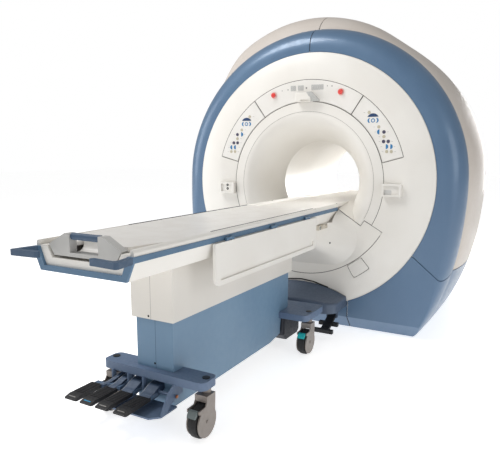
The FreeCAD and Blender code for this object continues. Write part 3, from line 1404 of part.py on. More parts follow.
def build_columns():
    outer = prism("lower_column_form", "YZ_Plane", column_side("0"), "-{column_half_width}",
                  "2 * {column_half_width}")
    inner = block("lower_column_room", ("-{column_half_width} + {column_wall}",
                                        "{column_half_width} - {column_wall}"),
                  (ahead("{column_head} + {column_length} - {column_wall}"),
                   ahead("{column_head} + {column_wall}")), ("0", "{column_top} + 5"))
    trim = block("lower_column_trim", ("-500", "500"),
                 (ahead("{column_head} + {column_length} + 50"), ahead("{column_head} - 50")),
                 ("{column_top}", "{column_top} + 50"))
    beam_high = "{beam_bottom} + {beam_height} + {fit_gap}"
    foot_notch = block("foot_beam_notch", ("-500", "500"),
                       (ahead("{foot_beam_head} + {foot_beam_width} + 60"),
                        ahead("{foot_beam_head} - {fit_gap}")),
                       ("{beam_bottom} - {fit_gap}", beam_high))
    head_notch = block("head_beam_notch", ("-500", "500"),
                       (ahead("{head_beam_foot} + {fit_gap}"), ahead("{column_head} - 50")),
                       ("{beam_bottom} - {fit_gap}", beam_high))
    node(without("lower_column_cover", outer, [inner, trim, foot_notch, head_notch]),
         "lower_column_cover")

    around = "{column_half_width} + {column_step} + {upper_wall}"
    tube = block("upper_column_form", ("-(%s)" % around, around),
                 (ahead("{column_head} + {column_length} + {column_step} + {upper_wall}"),
                  ahead("{column_head} - {column_step} - {upper_wall}")),
                 ("{upper_bottom}", TRAY_UNDER + " - {fit_gap}"))
    room = block("upper_column_room", ("-{column_half_width} - {column_step}",
                                       "{column_half_width} + {column_step}"),
                 (ahead("{column_head} + {column_length} + {column_step}"),
                  ahead("{column_head} - {column_step}")), ("0", "{table_top_height}"))
    node(without("upper_column_cover", tube, [room]), "upper_column_cover")

    slide = "{mast_wall} + 0.5"
    ram = block("lift_ram", ("-{mast_half_width} + " + slide, "{mast_half_width} - (%s)" % slide),
                (ahead("{mast_head} + {mast_length} - (%s)" % slide),
                 ahead("{mast_head} + " + slide)), ("{ram_bottom}", TRAY_UNDER + " - {fit_gap}"))
    node(ram, "lift_ram")


def lift_column():
    """The fixed column of the lift, which stands on the chassis."""
    mast = block("mast_form", ("-{mast_half_width}", "{mast_half_width}"),
                 (ahead("{mast_head} + {mast_length}"), ahead("{mast_head}")),
                 ("{chassis_top} - 5", "{mast_top}"))
    well = block("mast_well", ("-{mast_half_width} + {mast_wall}", "{mast_half_width} - {mast_wall}"),
                 (ahead("{mast_head} + {mast_length} - {mast_wall}"),
                  ahead("{mast_head} + {mast_wall}")), ("{chassis_top} + 8", "{mast_top} + 5"))
    return without("lift_column", mast, [well])


def pedal_pan():
    """The shaft of the foot pedals, its lugs and the pan that guards the pedals."""
    pivot_y = ahead("{pedal_pivot_y}")
    pieces = []
    for index, left in enumerate(PEDAL_LUGS):
        pieces.append(block("pedal_lug_%d" % index, (left, left + " + {lug_width}"),
                            (pivot_y + " - {pedal_hub_radius}", pivot_y + " + {pedal_hub_radius}"),
                            ("{pedal_pivot_height} - {pedal_hub_radius}", "{beam_bottom} + 4")))
    first = PEDAL_LUGS[0]
    pieces.append(rod("pedal_shaft", "x", (pivot_y, "{pedal_pivot_height}"), "{pedal_shaft_radius}",
                      first, "{pan_right} + 6 - (%s)" % first))
    under_beam = ahead("{foot_beam_head} + {foot_beam_width} / 2")
    start = ahead("{pedal_pivot_y} - {pedal_hub_radius}")
    tip = ahead("{pan_reach}")
    low = "{pan_top} - {pan_wall}"
    pieces.append(prism("pan_floor", "XY_Plane", [
        ("-{pan_left}", start), ("{pan_right}", start), ("{pan_right}", tip + " + 40"),
        ("{pan_right} - 40", tip), ("-{pan_left} + 20", tip), ("-{pan_left}", tip + " + 20"),
    ], low, "{pan_wall}"))
    pieces.append(prism("pan_cheek", "YZ_Plane", [
        (under_beam, "{beam_bottom} + 4"),
        (under_beam, "{beam_bottom} - 54"),
        (start, "{beam_bottom} - 62"),
        (start + " - 50", "{beam_bottom} - 84"),
        (start + " - 82", low),
        (tip + " + 42", low),
        (tip + " + 42", "{pan_top} + 6"),
        (start + " - 60", "{beam_bottom} - 24"),
        (start + " - 24", "{beam_bottom} - 2"),
        (start + " - 12", "{beam_bottom} + 4"),
    ], "{pan_right} - {pan_wall}", "{pan_wall}"))
    pieces.append(block("pan_post", ("-{pan_left}", "-{pan_left} + {lug_width}"),
                        (pivot_y + " - {pedal_hub_radius}", pivot_y + " + {pedal_hub_radius}"),
                        (low, "{pedal_pivot_height}")))
    return pieces


def build_chassis():
    foot = ahead("{column_head} + {column_length} - 8")
    beam = block("chassis_beam", ("-{chassis_half_width}", "{chassis_half_width}"),
                 (foot, ahead("{head_beam_foot} - 10")), ("{chassis_bottom}", "{chassis_top}"))
    nose = block("chassis_nose", ("-{nose_half_width}", "{nose_half_width}"),
                 (ahead("{head_beam_foot}"), ahead("{head_beam_head} + 10")),
                 ("{chassis_bottom} + 30", "{chassis_top}"))
    tongue = block("dock_tongue", ("-{tongue_half_width}", "{tongue_half_width}"),
                   (ahead("{head_beam_foot}"), ahead("{dock_reach} + 1")),
                   ("{dock_bottom} + 14", "{chassis_top} - 6"))
    hull = prism("chassis_hull", "YZ_Plane", [
        (ahead("{hull_head}"), "{chassis_top}"),
        (ahead("{hull_head}"), "{hull_bottom} + 22"),
        (ahead("{hull_head} + 30"), "{hull_bottom}"),
        (ahead("{hull_foot} - 60"), "{hull_bottom}"),
        (ahead("{hull_foot}"), "{hull_bottom} + 45"),
        (ahead("{hull_foot}"), "{chassis_top}"),
    ], "-{hull_half_width}", "2 * {hull_half_width}")
    hull = rounded(hull, "{hull_round}", lambda edge: not crosswise(edge)
                   and edge.CenterOfMass.z < size("chassis_top") - 1)
    node(joined("base_chassis", [beam, nose, tongue, hull, lift_column()]), "base_chassis")

    y_foot = ahead("{foot_beam_head} + {foot_beam_width}")
    y_head = ahead("{foot_beam_head}")
    foot_beam = prism("foot_beam", "XY_Plane", [
        ("-{beam_half_width}", y_foot), ("{beam_half_width}", y_foot),
        ("{beam_half_width}", y_head), ("-{beam_half_width}", y_head),
    ], "{beam_bottom}", "{beam_height}")
    foot_beam = rounded(foot_beam, "{beam_round}", upright)
    root_head = ahead("{head_beam_head}")
    root_foot = ahead("{head_beam_foot}")
    head_beam = prism("head_beam", "XY_Plane", [
        ("-{beam_half_width}", root_foot), ("{beam_half_width}", root_foot),
        ("{beam_half_width}", root_head), ("-{beam_half_width}", root_head),
    ], "{beam_bottom}", "{beam_height}")
    head_beam = rounded(head_beam, "{beam_round}", upright)
    pieces = [foot_beam, head_beam] + pedal_pan()
    holes = []
    for across in (1, -1):
        for end in ("foot", "head"):
            name = "stem_hole_%s_%d" % (end, across)
            holes.append(rod(name, "z", ("%d * {caster_x}" % across, ahead("{%s_caster_y}" % end)),
                             "{stem_radius} + {fit_gap}", "{beam_bottom} - 10",
                             "{beam_height} + 20"))
    node(without("caster_beams", joined("beams_body", pieces), holes), "caster_beams")


def build_caster(end, side, across):
    """One swivel caster: fork with its axle, wheel and brake lever."""
    tag = "%s_%s" % (end, side)
    stem_x = "%d * {caster_x}" % across
    stem_y = ahead("{%s_caster_y}" % end)
    axle_y = stem_y + " - {caster_trail}"
    axle_z = "{wheel_radius}"
    inner = "{wheel_width} / 2 + {fork_gap}"
    outer = inner + " + {fork_cheek}"
    crown_low = "2 * {wheel_radius} + 8"
    pin_y = stem_y + " - {brake_behind}"
    pieces = []
    for sign, name in ((1, "right"), (-1, "left")):
        start = stem_x + " + " + (inner if sign > 0 else "-(%s)" % outer)
        pieces.append(prism("cheek_%s_%s" % (tag, name), "YZ_Plane", [
            (stem_y + " + 24", crown_low + " + 4"),
            (stem_y + " + 20", axle_z),
            (axle_y + " - 30", axle_z),
            (axle_y + " - 40", "{brake_height} - 18"),
            (pin_y + " - 7", "{brake_height} - 8"),
            (pin_y + " - 7", "{brake_height} + 6"),
            (stem_y + " - 56", "{brake_height} + 8"),
            (stem_y + " - 44", crown_low + " + 4"),
        ], start, "{fork_cheek}"))
        pieces.append(rod("boss_%s_%s" % (tag, name), "x", (axle_y, axle_z), "{cheek_radius}",
                          start, "{fork_cheek}"))
    pieces.append(block("crown_" + tag, (stem_x + " - (%s)" % outer, stem_x + " + " + outer),
                        (stem_y + " - 44", stem_y + " + 24"),
                        (crown_low, crown_low + " + {fork_crown}")))
    pieces.append(rod("neck_" + tag, "z", (stem_x, stem_y), "2 * {stem_radius}",
                      crown_low + " + 10", "{beam_bottom} - {fit_gap} - 10 - (%s)" % crown_low))
    pieces.append(rod("stem_" + tag, "z", (stem_x, stem_y), "{stem_radius}",
                      crown_low + " + 10",
                      "{beam_bottom} + {beam_height} + 1 - 10 - (%s)" % crown_low))
    pieces.append(rod("cap_" + tag, "z", (stem_x, stem_y), "{cap_radius}",
                      "{beam_bottom} + {beam_height} + {fit_gap}", "{cap_height}"))
    pieces.append(rod("axle_" + tag, "x", (axle_y, axle_z), "{axle_radius}",
                      stem_x + " - (%s) - 3" % outer, "2 * (%s) + 6" % outer))
    pieces.append(rod("brake_pin_" + tag, "x", (pin_y, "{brake_height}"), "{brake_pin_radius}",
                      stem_x + " - (%s)" % outer, "2 * (%s)" % outer))
    node(joined("caster_fork_" + tag, pieces), "caster_fork_" + tag)

    face = stem_x + " - {wheel_width} / 2"
    tyre_bore = "{wheel_radius} - {tyre_depth}"
    tyre = without("tyre_ring_" + tag,
                   rod("tyre_" + tag, "x", (axle_y, axle_z), "{wheel_radius}", face,
                       "{wheel_width}"),
                   [rod("tyre_hole_" + tag, "x", (axle_y, axle_z), tyre_bore + " + {fit_gap}",
                        face + " - 1", "{wheel_width} + 2")])
    rim = without("rim_ring_" + tag,
                  rod("rim_" + tag, "x", (axle_y, axle_z), tyre_bore, face + " - 1",
                      "{wheel_width} + 2"),
                  [rod("rim_hole_" + tag, "x", (axle_y, axle_z), "{axle_radius} + {fit_gap}",
                       face + " - 2", "{wheel_width} + 4")])
    wheel = DOC.addObject("Part::Compound", "wheel_" + tag)
    wheel.Links = [tyre, rim]
    node(wheel, "wheel_" + tag)

    reach = "{wheel_width} / 2 + 1"
    hub = rod("lever_hub_" + tag, "x", (pin_y, "{brake_height}"), "{brake_hub_radius}",
              stem_x + " - (%s)" % reach, "2 * (%s)" % reach)
    tab = prism("lever_tab_" + tag, "YZ_Plane", [
        (pin_y, "{brake_height} + {brake_hub_radius}"),
        (pin_y, "{brake_height} - {brake_hub_radius} + 2"),
        (pin_y + " - {brake_reach} + 8", "{brake_height} - 26"),
        (pin_y + " - {brake_reach}", "{brake_height} - 24"),
        (pin_y + " - {brake_reach} + 4", "{brake_height} - 12"),
        (pin_y + " - {brake_reach} / 2", "{brake_height} + 2"),
    ], stem_x + " - (%s)" % reach, "2 * (%s)" % reach)
    bore = rod("lever_bore_" + tag, "x", (pin_y, "{brake_height}"),
               "{brake_pin_radius} + {fit_gap}", stem_x + " - (%s) - 1" % reach,
               "2 * (%s) + 2" % reach)
    lever = without("brake_lever_" + tag, joined("lever_body_" + tag, [hub, tab]), [bore])
    node(lever, "brake_lever_" + tag)


def build_pedals():
    """Four foot pedals on one shaft, each pad carried by its own arm."""
    pivot_y = ahead("{pedal_pivot_y}")
    high = "{pedal_top}"
    low = "{pedal_top} - {pedal_thickness}"
    start = ahead("{pedal_start}")
    end = ahead("{pedal_end}")
    for letter, pad_x, arm_x in PEDALS:
        name = "foot_pedal_" + letter
        near = "%d - {pedal_arm_width} / 2" % arm_x
        pad_low = "%d - {pedal_width} / 2" % pad_x
        pad = prism(name + "_pad", "YZ_Plane", [
            (start, high), (start, low), (end + " + 12", low + " - 4"),
            (end, low), (end, high + " - 8"), (end + " + 30", high),
        ], pad_low, "{pedal_width}")
        root = start + " + {pedal_neck}"
        arm = block(name + "_arm", (near, near + " + {pedal_arm_width}"), (root, pivot_y),
                    (low + " + 5", high + " + 6"))
        pieces = [pad, arm]
        if abs(pad_x - arm_x) < size("pedal_width") / 2:
            across = (near, "min(%d + {pedal_width} / 2; %d + {pedal_arm_width} / 2)"
                      % (pad_x, arm_x))
        else:
            across = ("%d - {pedal_arm_width} / 2" % pad_x, "%d + {pedal_arm_width} / 2" % pad_x)
            pieces.append(block(name + "_bar", (across[0], "%d + {pedal_arm_width} / 2" % arm_x),
                                (root, root + " + {pedal_bar_width}"), (low + " + 5", high)))
        pieces.append(block(name + "_neck", across, (start + " - 1", root + " + 1"),
                            (low + " + 5", high)))
        hub = rod(name + "_hub", "x", (pivot_y, "{pedal_pivot_height}"), "{pedal_hub_radius}",
                  near, "{pedal_arm_width}")
        bore = rod(name + "_bore", "x", (pivot_y, "{pedal_pivot_height}"),
                   "{pedal_shaft_radius} + {fit_gap}", near + " - 1", "{pedal_arm_width} + 2")
        body = joined(name + "_body", pieces + [hub])
        node(without(name, body, [bore]), name)


def report_and_write():
    """Stops on a failed object or shape, then writes one file for each sub-part."""
    DOC.recompute()
    failed = [thing.Name for thing in DOC.Objects
              if "Invalid" in thing.State or "Error" in thing.State]
    broken = [thing.Label for thing in NODES
              if thing.Shape.isNull() or not thing.Shape.isValid() or not thing.Shape.Solids]
    if failed or broken:
        raise RuntimeError("failed objects %s, broken shapes %s" % (failed, broken))
    os.makedirs("parts", exist_ok=True)
    for thing in NODES:
        thing.Shape.exportStep(os.path.join("parts", thing.Label + ".step"))
    print("%d sub-parts written" % len(NODES))


build_magnet()
build_bezel()
build_side_covers()
build_cover_frame()
build_front()
build_rear()
build_lower_cover()
build_fascia_parts()
build_dock()
build_bridge()
build_tray()
build_guards()
build_cradle()
build_columns()
build_chassis()
for end_name in ("foot", "head"):
    for side_name, sign in (("left", -1), ("right", 1)):
        build_caster(end_name, side_name, sign)
build_pedals()
report_and_write()
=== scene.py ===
"""Imaging scanner and patient table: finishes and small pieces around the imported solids."""

import math

import bmesh
import bpy
from mathutils import Matrix, Vector
from mathutils.bvhtree import BVHTree


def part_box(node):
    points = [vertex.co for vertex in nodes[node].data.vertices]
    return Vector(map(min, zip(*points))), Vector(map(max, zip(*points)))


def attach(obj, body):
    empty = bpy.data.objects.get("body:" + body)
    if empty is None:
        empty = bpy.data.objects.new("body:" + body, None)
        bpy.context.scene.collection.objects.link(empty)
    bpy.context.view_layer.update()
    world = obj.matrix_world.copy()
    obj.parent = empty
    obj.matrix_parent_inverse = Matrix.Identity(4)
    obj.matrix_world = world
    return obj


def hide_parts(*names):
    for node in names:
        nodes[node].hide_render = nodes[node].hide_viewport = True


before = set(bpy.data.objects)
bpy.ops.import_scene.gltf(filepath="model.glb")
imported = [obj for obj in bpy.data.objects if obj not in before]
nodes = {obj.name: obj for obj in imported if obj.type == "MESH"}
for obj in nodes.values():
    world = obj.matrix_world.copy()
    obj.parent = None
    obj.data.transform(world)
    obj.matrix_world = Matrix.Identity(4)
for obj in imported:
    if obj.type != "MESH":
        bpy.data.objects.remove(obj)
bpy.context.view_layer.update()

# Places on the machine, in metres and degrees
RIM_Y = -0.86
AXIS_Z = 1.045
TABLE_TOP = 0.913
FLARE_R = 0.311
MOUTH_R = 0.498
BIB_STEP_R = 0.506
COLLAR_R = 0.565
HEM_R = 0.652
CONTROL_RING_R = 0.711
PANEL_ENDS = (34.6, 74.8)
BIB_INNER_END = 123.5
BIB_OUTER_END = 118.5
GUARD_EDGE_X = 0.2576
GANTRY_WHITE = ("gantry", "cover_white")


# Finishes

def tone(red, green, blue):
    """A linear colour from display values of 0 to 255."""
    channels = []
    for level in (red, green, blue):
        share = level / 255
        channels.append(share / 12.92 if share <= 0.04045 else ((share + 0.055) / 1.055) ** 2.4)
    return (*channels, 1.0)


def placed(tree, kind, given=None, **settings):
    """A node with its settings, and its inputs set to values or linked from other nodes."""
    node = tree.nodes.new(kind)
    for name, value in settings.items():
        setattr(node, name, value)
    for name, value in (given or {}).items():
        if isinstance(value, bpy.types.NodeSocket):
            tree.links.new(value, node.inputs[name])
        elif value is not None:
            node.inputs[name].default_value = value
    return node


class Finish:
    """A procedural material on object coordinates, built up layer by layer from display values."""

    def __init__(self, name, colour, metal=0.0, coat=0.0, coat_roughness=0.1, gloss=0.5):
        self.material = bpy.data.materials.new(name)
        self.material.use_nodes = True
        self.tree = self.material.node_tree
        self.tree.nodes.clear()
        self.shader = placed(self.tree, "ShaderNodeBsdfPrincipled", {
            "Metallic": metal, "Coat Weight": coat, "Coat Roughness": coat_roughness,
            "Specular IOR Level": gloss})
        placed(self.tree, "ShaderNodeOutputMaterial", {"Surface": self.shader.outputs["BSDF"]})
        self.place = placed(self.tree, "ShaderNodeTexCoord").outputs["Object"]
        self.colour = placed(self.tree, "ShaderNodeRGB").outputs[0]
        self.colour.default_value = tone(*colour)
        self.normal = None
        self.rough = None

    def noise(self, scale, detail=2.0, stretch=(1, 1, 1)):
        mapping = placed(self.tree, "ShaderNodeMapping", {"Vector": self.place, "Scale": stretch})
        return placed(self.tree, "ShaderNodeTexNoise", {
            "Vector": mapping.outputs["Vector"], "Scale": scale, "Detail": detail}).outputs["Fac"]

    def ranged(self, source, low, high, to_low=0.0, to_high=1.0):
        return placed(self.tree, "ShaderNodeMapRange", {
            "Value": source, "From Min": low, "From Max": high, "To Min": to_low,
            "To Max": to_high}, interpolation_type="SMOOTHSTEP").outputs["Result"]

    def times(self, first, second):
        return placed(self.tree, "ShaderNodeMath", {0: first, 1: second},
                      operation="MULTIPLY").outputs[0]

    def within(self, axis, low, high, soft=0.0004):
        """One between two planes across an axis, and nothing outside them."""
        parts = placed(self.tree, "ShaderNodeSeparateXYZ", {0: self.place})
        source = parts.outputs["XYZ".index(axis)]
        return self.times(self.ranged(source, low - soft, low),
                          self.ranged(source, high, high + soft, 1.0, 0.0))

    def tint(self, colour, mask):
        """Lays a colour over the ones below, where the mask says."""
        self.colour = placed(self.tree, "ShaderNodeMix", {
            "Factor": mask, "A": self.colour, "B": tone(*colour)},
            data_type="RGBA").outputs["Result"]
        return self

    def drift(self, colour, scale, share=1.0):
        """Slow change of tone over the surface."""
        return self.tint(colour, self.ranged(self.noise(scale, 3.0), 0.35, 0.7, 0.0, share))

    def speckle(self, colour, scale, share=0.5):
        """Fine dots of another tone."""
        return self.tint(colour, self.ranged(self.noise(scale, 1.0), 0.55, 0.75, 0.0, share))

    def scuffs(self, colour, stretch, share=0.4):
        """Fine rubbed streaks, long in the direction with the small stretch."""
        mask = self.ranged(self.noise(1.0, 4.0, stretch), 0.62, 0.72, 0.0, share)
        return self.tint(colour, mask)

    def relief(self, source, height):
        """Raises the surface by a height where the source is one."""
        self.normal = placed(self.tree, "ShaderNodeBump", {
            "Strength": 1.0, "Distance": height, "Height": source,
            "Normal": self.normal}).outputs["Normal"]
        return self

    def grain(self, scale, height, stretch=(1, 1, 1)):
        return self.relief(self.noise(scale, 2.0, stretch), height)

    def roughness(self, low, high, scale):
        self.rough = self.ranged(self.noise(scale, 3.0), 0.3, 0.7, low, high)
        return self

    def done(self):
        for name, source in (("Base Color", self.colour), ("Normal", self.normal),
                             ("Roughness", self.rough)):
            if source is not None:
                self.tree.links.new(source, self.shader.inputs[name])
        return self.material


def moulded(name, colour, shade):
    """Satin painted cover: orange peel, a faint wave and a slow drift of tone."""
    finish = Finish(name, colour, coat=0.08, coat_roughness=0.25, gloss=0.35)
    finish.drift(shade, 2.5, 0.8).speckle(shade, 700, 0.25)
    finish.grain(3.0, 0.0015).grain(650, 0.00004)
    return finish.roughness(0.36, 0.48, 30)


def pearl(name, colour, shade, bright):
    """Metallic satin paint with fine flakes."""
    finish = Finish(name, colour, metal=0.15, coat=0.35, coat_roughness=0.14)
    finish.drift(shade, 1.8, 0.7).speckle(bright, 1400, 0.35)
    finish.grain(2.5, 0.002).grain(900, 0.00003)
    return finish.roughness(0.34, 0.44, 25).done()


def powder(name, colour, shade, bright):
    """Powder-coated metal: pebbled, with a few rubbed marks."""
    finish = Finish(name, colour, metal=0.1)
    finish.drift(shade, 6, 0.7).scuffs(bright, (30, 4, 60), 0.25)
    finish.grain(420, 0.00012)
    return finish.roughness(0.42, 0.58, 60).done()


def plastic(name, colour, shade, rough=(0.4, 0.55), grain=0.00006, gloss=0.5):
    """Moulded plastic or rubber with a fine grain."""
    finish = Finish(name, colour, gloss=gloss)
    finish.drift(shade, 9, 0.8).speckle(shade, 900, 0.3)
    finish.grain(800, grain)
    return finish.roughness(*rough, 80).done()


def brushed(name, colour, shade, stretch, rough=(0.25, 0.4)):
    """Machined metal with lines left by the tool."""
    finish = Finish(name, colour, metal=1.0)
    finish.tint(shade, finish.ranged(finish.noise(1.0, 4.0, stretch), 0.35, 0.65, 0.0, 0.8))
    finish.relief(finish.noise(1.0, 3.0, stretch), 0.00006)
    return finish.roughness(*rough, 120).done()


def metal_paint(name, colour, shade, metal, patch, pebble):
    """Grey satin paint of the casters."""
    finish = Finish(name, colour, metal=metal)
    return finish.drift(shade, patch, 0.8).grain(pebble[0], pebble[1])


def upright_seam_shade(finish, colour, x, back):
    """A fine darker line down a wall that faces the foot end: painted shade in the seam there."""
    mask = finish.times(finish.within("X", x, x + 0.0017), finish.within("Y", -2.7, back))
    return finish.tint(colour, mask)


WHITE = (234, 231, 225)
WHITE_SHADE = (228, 224, 217)
# The stripe blue is the bumpers' own blue, set darker as painted shade for the faces that look
# toward the foot end.
STRIPE = (84, 116, 144)

cover_white = moulded("moulded_cover_white", WHITE, WHITE_SHADE).done()
cover_beige = moulded("moulded_cover_beige", (206, 198, 190), (199, 190, 181)).done()
bezel_blue = pearl("bezel_pearl_blue", (90, 118, 147), (81, 108, 138), (136, 162, 188))
stripe_blue = plastic("bumper_blue", STRIPE, (78, 109, 137))
# A darker copy of the stripe blue for the push handles and the cradle grip: painted shade on their
# faces toward the foot end.
stripe_blue_shaded = plastic("stripe_blue_shaded", (62, 86, 112), (55, 78, 103))
tray_white = moulded("moulded_tray_white", WHITE, WHITE_SHADE)
for inner, outer in ((GUARD_EDGE_X, 0.30), (-0.30, -GUARD_EDGE_X)):
    tray_white.tint(STRIPE, tray_white.within("X", inner, outer))
tray_white = tray_white.done()
guard_white = moulded("moulded_guard_white", WHITE, WHITE_SHADE)
guard_white = guard_white.tint(STRIPE, guard_white.within("Z", 0.8628, 0.90)).done()
dock_blue = powder("dock_slate_blue", (84, 98, 118), (78, 92, 112), (106, 120, 140))
beam_blue = powder("beam_slate_blue", (100, 119, 146), (92, 110, 137), (124, 140, 164))
chassis_navy = powder("chassis_navy", (34, 38, 48), (28, 32, 42), (54, 60, 72))
# Darker than the pedals' blue: painted shade on the arm tops under the beam.
pedal_arm_shaded_blue = powder("pedal_arm_shaded_blue", (58, 76, 100), (50, 68, 92), (84, 98, 118))
# Both column finishes get a darker line at a seam: painted shade.
column_blue = moulded("column_satin_blue", (112, 142, 168), (105, 135, 162))
column_blue = upright_seam_shade(column_blue, (58, 78, 100), 0.0035, -2.617).done()
# The column's white is greyer than the covers: partly its own tone, partly painted shade from the
# table above it.
column_white = moulded("column_satin_white", (222, 218, 212), (216, 212, 205))
column_white = upright_seam_shade(column_white, (150, 146, 142), -0.0075, -2.634).done()
vessel_paint = moulded("vessel_paint", (206, 206, 204), (196, 197, 196)).done()
control_film = plastic("control_film", (234, 231, 226), (228, 225, 219), (0.3, 0.4))
cradle_white = plastic("cradle_shell", (233, 230, 225), (226, 222, 216), (0.3, 0.42))
# The handle's own grey, set darker as painted shade for its face toward the foot end.
handle_grey = plastic("handle_grey", (188, 187, 184), (179, 178, 175))
socket_beige = plastic("socket_beige", (214, 206, 192), (203, 195, 181))
socket_green = plastic("socket_green", (148, 156, 138), (138, 146, 128))
coil_resin = plastic("coil_resin", (206, 190, 140), (188, 170, 120), (0.25, 0.4))
bare_metal = brushed("machined_metal", (186, 187, 190), (160, 161, 165), (900, 900, 6))
aluminium = brushed("bent_aluminium", (190, 191, 193), (172, 173, 176), (600, 8, 600), (0.35, 0.5))
brass = brushed("brass", (184, 120, 84), (164, 100, 66), (700, 700, 30))
# Black rubber for tread ribs, jacks and screw heads; the same finish is also painted shade in the
# gap along the dock's top.
rubber = plastic("rubber_black_and_gap_shade", (24, 24, 27), (34, 34, 37), (0.6, 0.8), 0.0001, 0.3)
tyre_rubber = plastic("tyre_rubber", (34, 34, 36), (48, 47, 47), (0.55, 0.75), 0.00012, 0.35)
# Near-black painted shade for the gaps beside the cradle and the seams at the foot of the rim.
gap_shade_paint = plastic("painted_gap_shade", (46, 47, 50), (36, 37, 40), (0.6, 0.8), 0.00008, 0.2)
# Grey for printed ticks, readout lamps and rear screws, and also painted highlights: the lit end
# of the dock's gap and the pedal noses.
grey_marks_and_highlights = plastic("grey_marks_and_painted_highlights", (150, 148, 145), (138, 136, 133), (0.5, 0.7))
# Painted shade laid into the front's seams: a dark line in most of them, a paler one in the mouth
# seam.
dark_seam_shade = plastic("painted_seam_shadow", (104, 100, 96), (92, 88, 84), (0.6, 0.8), 0.00008, 0.2)
faint_seam_shade = plastic("painted_faint_seam_shadow", (168, 163, 158), (158, 153, 148), (0.5, 0.7))
key_tan = plastic("key_tan", (196, 188, 166), (184, 176, 154), (0.3, 0.4))
key_dark = plastic("key_dark", (76, 74, 96), (66, 64, 84), (0.3, 0.4))
key_blue = plastic("key_blue", (52, 126, 178), (44, 112, 162), (0.25, 0.38))
key_navy = plastic("key_navy", (42, 68, 106), (36, 60, 96), (0.3, 0.4))
window_grey = plastic("readout_window", (206, 205, 202), (199, 198, 195), (0.15, 0.25))
segment_grey = plastic("readout_segment", (168, 168, 166), (160, 160, 158))
tilted_grey = plastic("tilted_window", (186, 186, 183), (176, 177, 174), (0.2, 0.35))
stop_red = plastic("stop_red", (226, 84, 78), (214, 66, 62), (0.2, 0.32), 0.00003)
stop_ring = plastic("stop_ring", (232, 188, 180), (224, 176, 168), (0.3, 0.4))
teal = plastic("brake_teal", (40, 190, 190), (30, 172, 176), (0.3, 0.45))
cyan = plastic("pedal_cyan", (36, 160, 210), (28, 146, 198), (0.3, 0.45))
lever_grey = plastic("lever_grey", (118, 128, 128), (104, 114, 115))
# Light grey strip along each pedal arm's left edge: a painted highlight.
arm_highlight_grey = plastic("arm_painted_highlight", (150, 158, 168), (140, 149, 160))
dock_pedal_black = plastic("dock_pedal_black", (30, 31, 34), (40, 41, 45), (0.5, 0.65), 0.0001)
fork_grey = metal_paint("caster_grey", (146, 138, 132), (134, 126, 120), 0.35, 12, (500, 0.00008))
fork_grey.tint((30, 31, 34), fork_grey.within("Z", 0.2652, 0.3, 0.0001))
fork_grey = fork_grey.roughness(0.32, 0.45, 60).done()
disc_grey = metal_paint("wheel_disc_grey", (140, 131, 125), (128, 120, 114), 0.3, 14,
                        (600, 0.00006)).roughness(0.34, 0.46, 60).done()
pedal_mix = Finish("pedal_blue_and_black", (88, 110, 136)).drift((78, 100, 126), 10, 0.7)
pedal_mix.tint((26, 26, 29), pedal_mix.within("Y", -3.0, -2.7205, 0.0006)).grain(500, 0.0001)
pedal_mix = pedal_mix.roughness(0.45, 0.62, 70).done()

WEARS = {
    "magnet_vessel": vessel_paint, "gradient_coil": coil_resin, "cold_head": bare_metal,
    "cover_frame": aluminium, "coil_sockets": socket_beige, "bridge_stripes": stripe_blue,
    "side_cover_left": cover_beige, "side_cover_right": cover_beige, "side_skirts": bezel_blue,
    "dock_housing": dock_blue, "display_panel": control_film,
    "control_panel_left": control_film, "control_panel_right": control_film,
    "estop_left": stop_red, "estop_right": stop_red, "base_chassis": chassis_navy,
    "caster_beams": beam_blue, "lower_column_cover": column_blue,
    "upper_column_cover": column_white, "lift_ram": bare_metal, "edge_bumper": stripe_blue,
    "push_handles": stripe_blue_shaded, "cradle": cradle_white, "cradle_handle": handle_grey,
    "cradle_grip": stripe_blue_shaded, "table_tray": tray_white, "side_guard_left": guard_white,
    "side_guard_right": guard_white, "dock_pedal_left": dock_pedal_black,
    "dock_pedal_right": dock_pedal_black,
}
KINDS = (("bezel_", bezel_blue), ("foot_pedal", pedal_mix), ("caster_fork", fork_grey),
         ("wheel_", disc_grey), ("brake_lever", lever_grey), ("brake_lever_head_right", teal))


def dress_solids():
    """Gives every carried-over solid its finish."""
    for name, thing in nodes.items():
        wear = WEARS.get(name, cover_white)
        for start, finish in KINDS:
            if name.startswith(start):
                wear = finish
        thing.data.materials.clear()
        thing.data.materials.append(wear)


# Mesh builders

def held(name, mesh, finish, body, slot, smooth=True):
    """A finished piece at the origin, riding on its body."""
    mesh.materials.clear()
    mesh.materials.append(finish)
    thing = bpy.data.objects.new(name, mesh)
    bpy.context.scene.collection.objects.link(thing)
    mesh.shade_smooth()
    if smooth:
        mesh.set_sharp_from_angle(angle=math.radians(35))
    else:
        mesh.shade_flat()
    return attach(thing, body)


def mesh_of(name, form):
    """Closes a bmesh: doubles merged and faces turned outward."""
    bmesh.ops.remove_doubles(form, verts=form.verts, dist=1e-6)
    bmesh.ops.recalc_face_normals(form, faces=form.faces)
    mesh = bpy.data.meshes.new(name)
    form.to_mesh(mesh)
    form.free()
    return mesh


def lathe(profile, steps=48):
    """A solid turned about Z, from (radius, height) points that start and end on the axis."""
    form = bmesh.new()
    rings = []
    for radius, height in profile:
        if radius < 1e-6:
            rings.append([form.verts.new((0, 0, height))])
            continue
        ring = []
        for step in range(steps):
            turn = 2 * math.pi * step / steps
            ring.append(form.verts.new((radius * math.cos(turn), radius * math.sin(turn), height)))
        rings.append(ring)
    for low, high in zip(rings, rings[1:]):
        for step in range(steps):
            after = (step + 1) % steps
            if len(low) == 1:
                form.faces.new((low[0], high[step], high[after]))
            elif len(high) == 1:
                form.faces.new((low[step], low[after], high[0]))
            else:
                form.faces.new((low[step], low[after], high[after], high[step]))
    return form


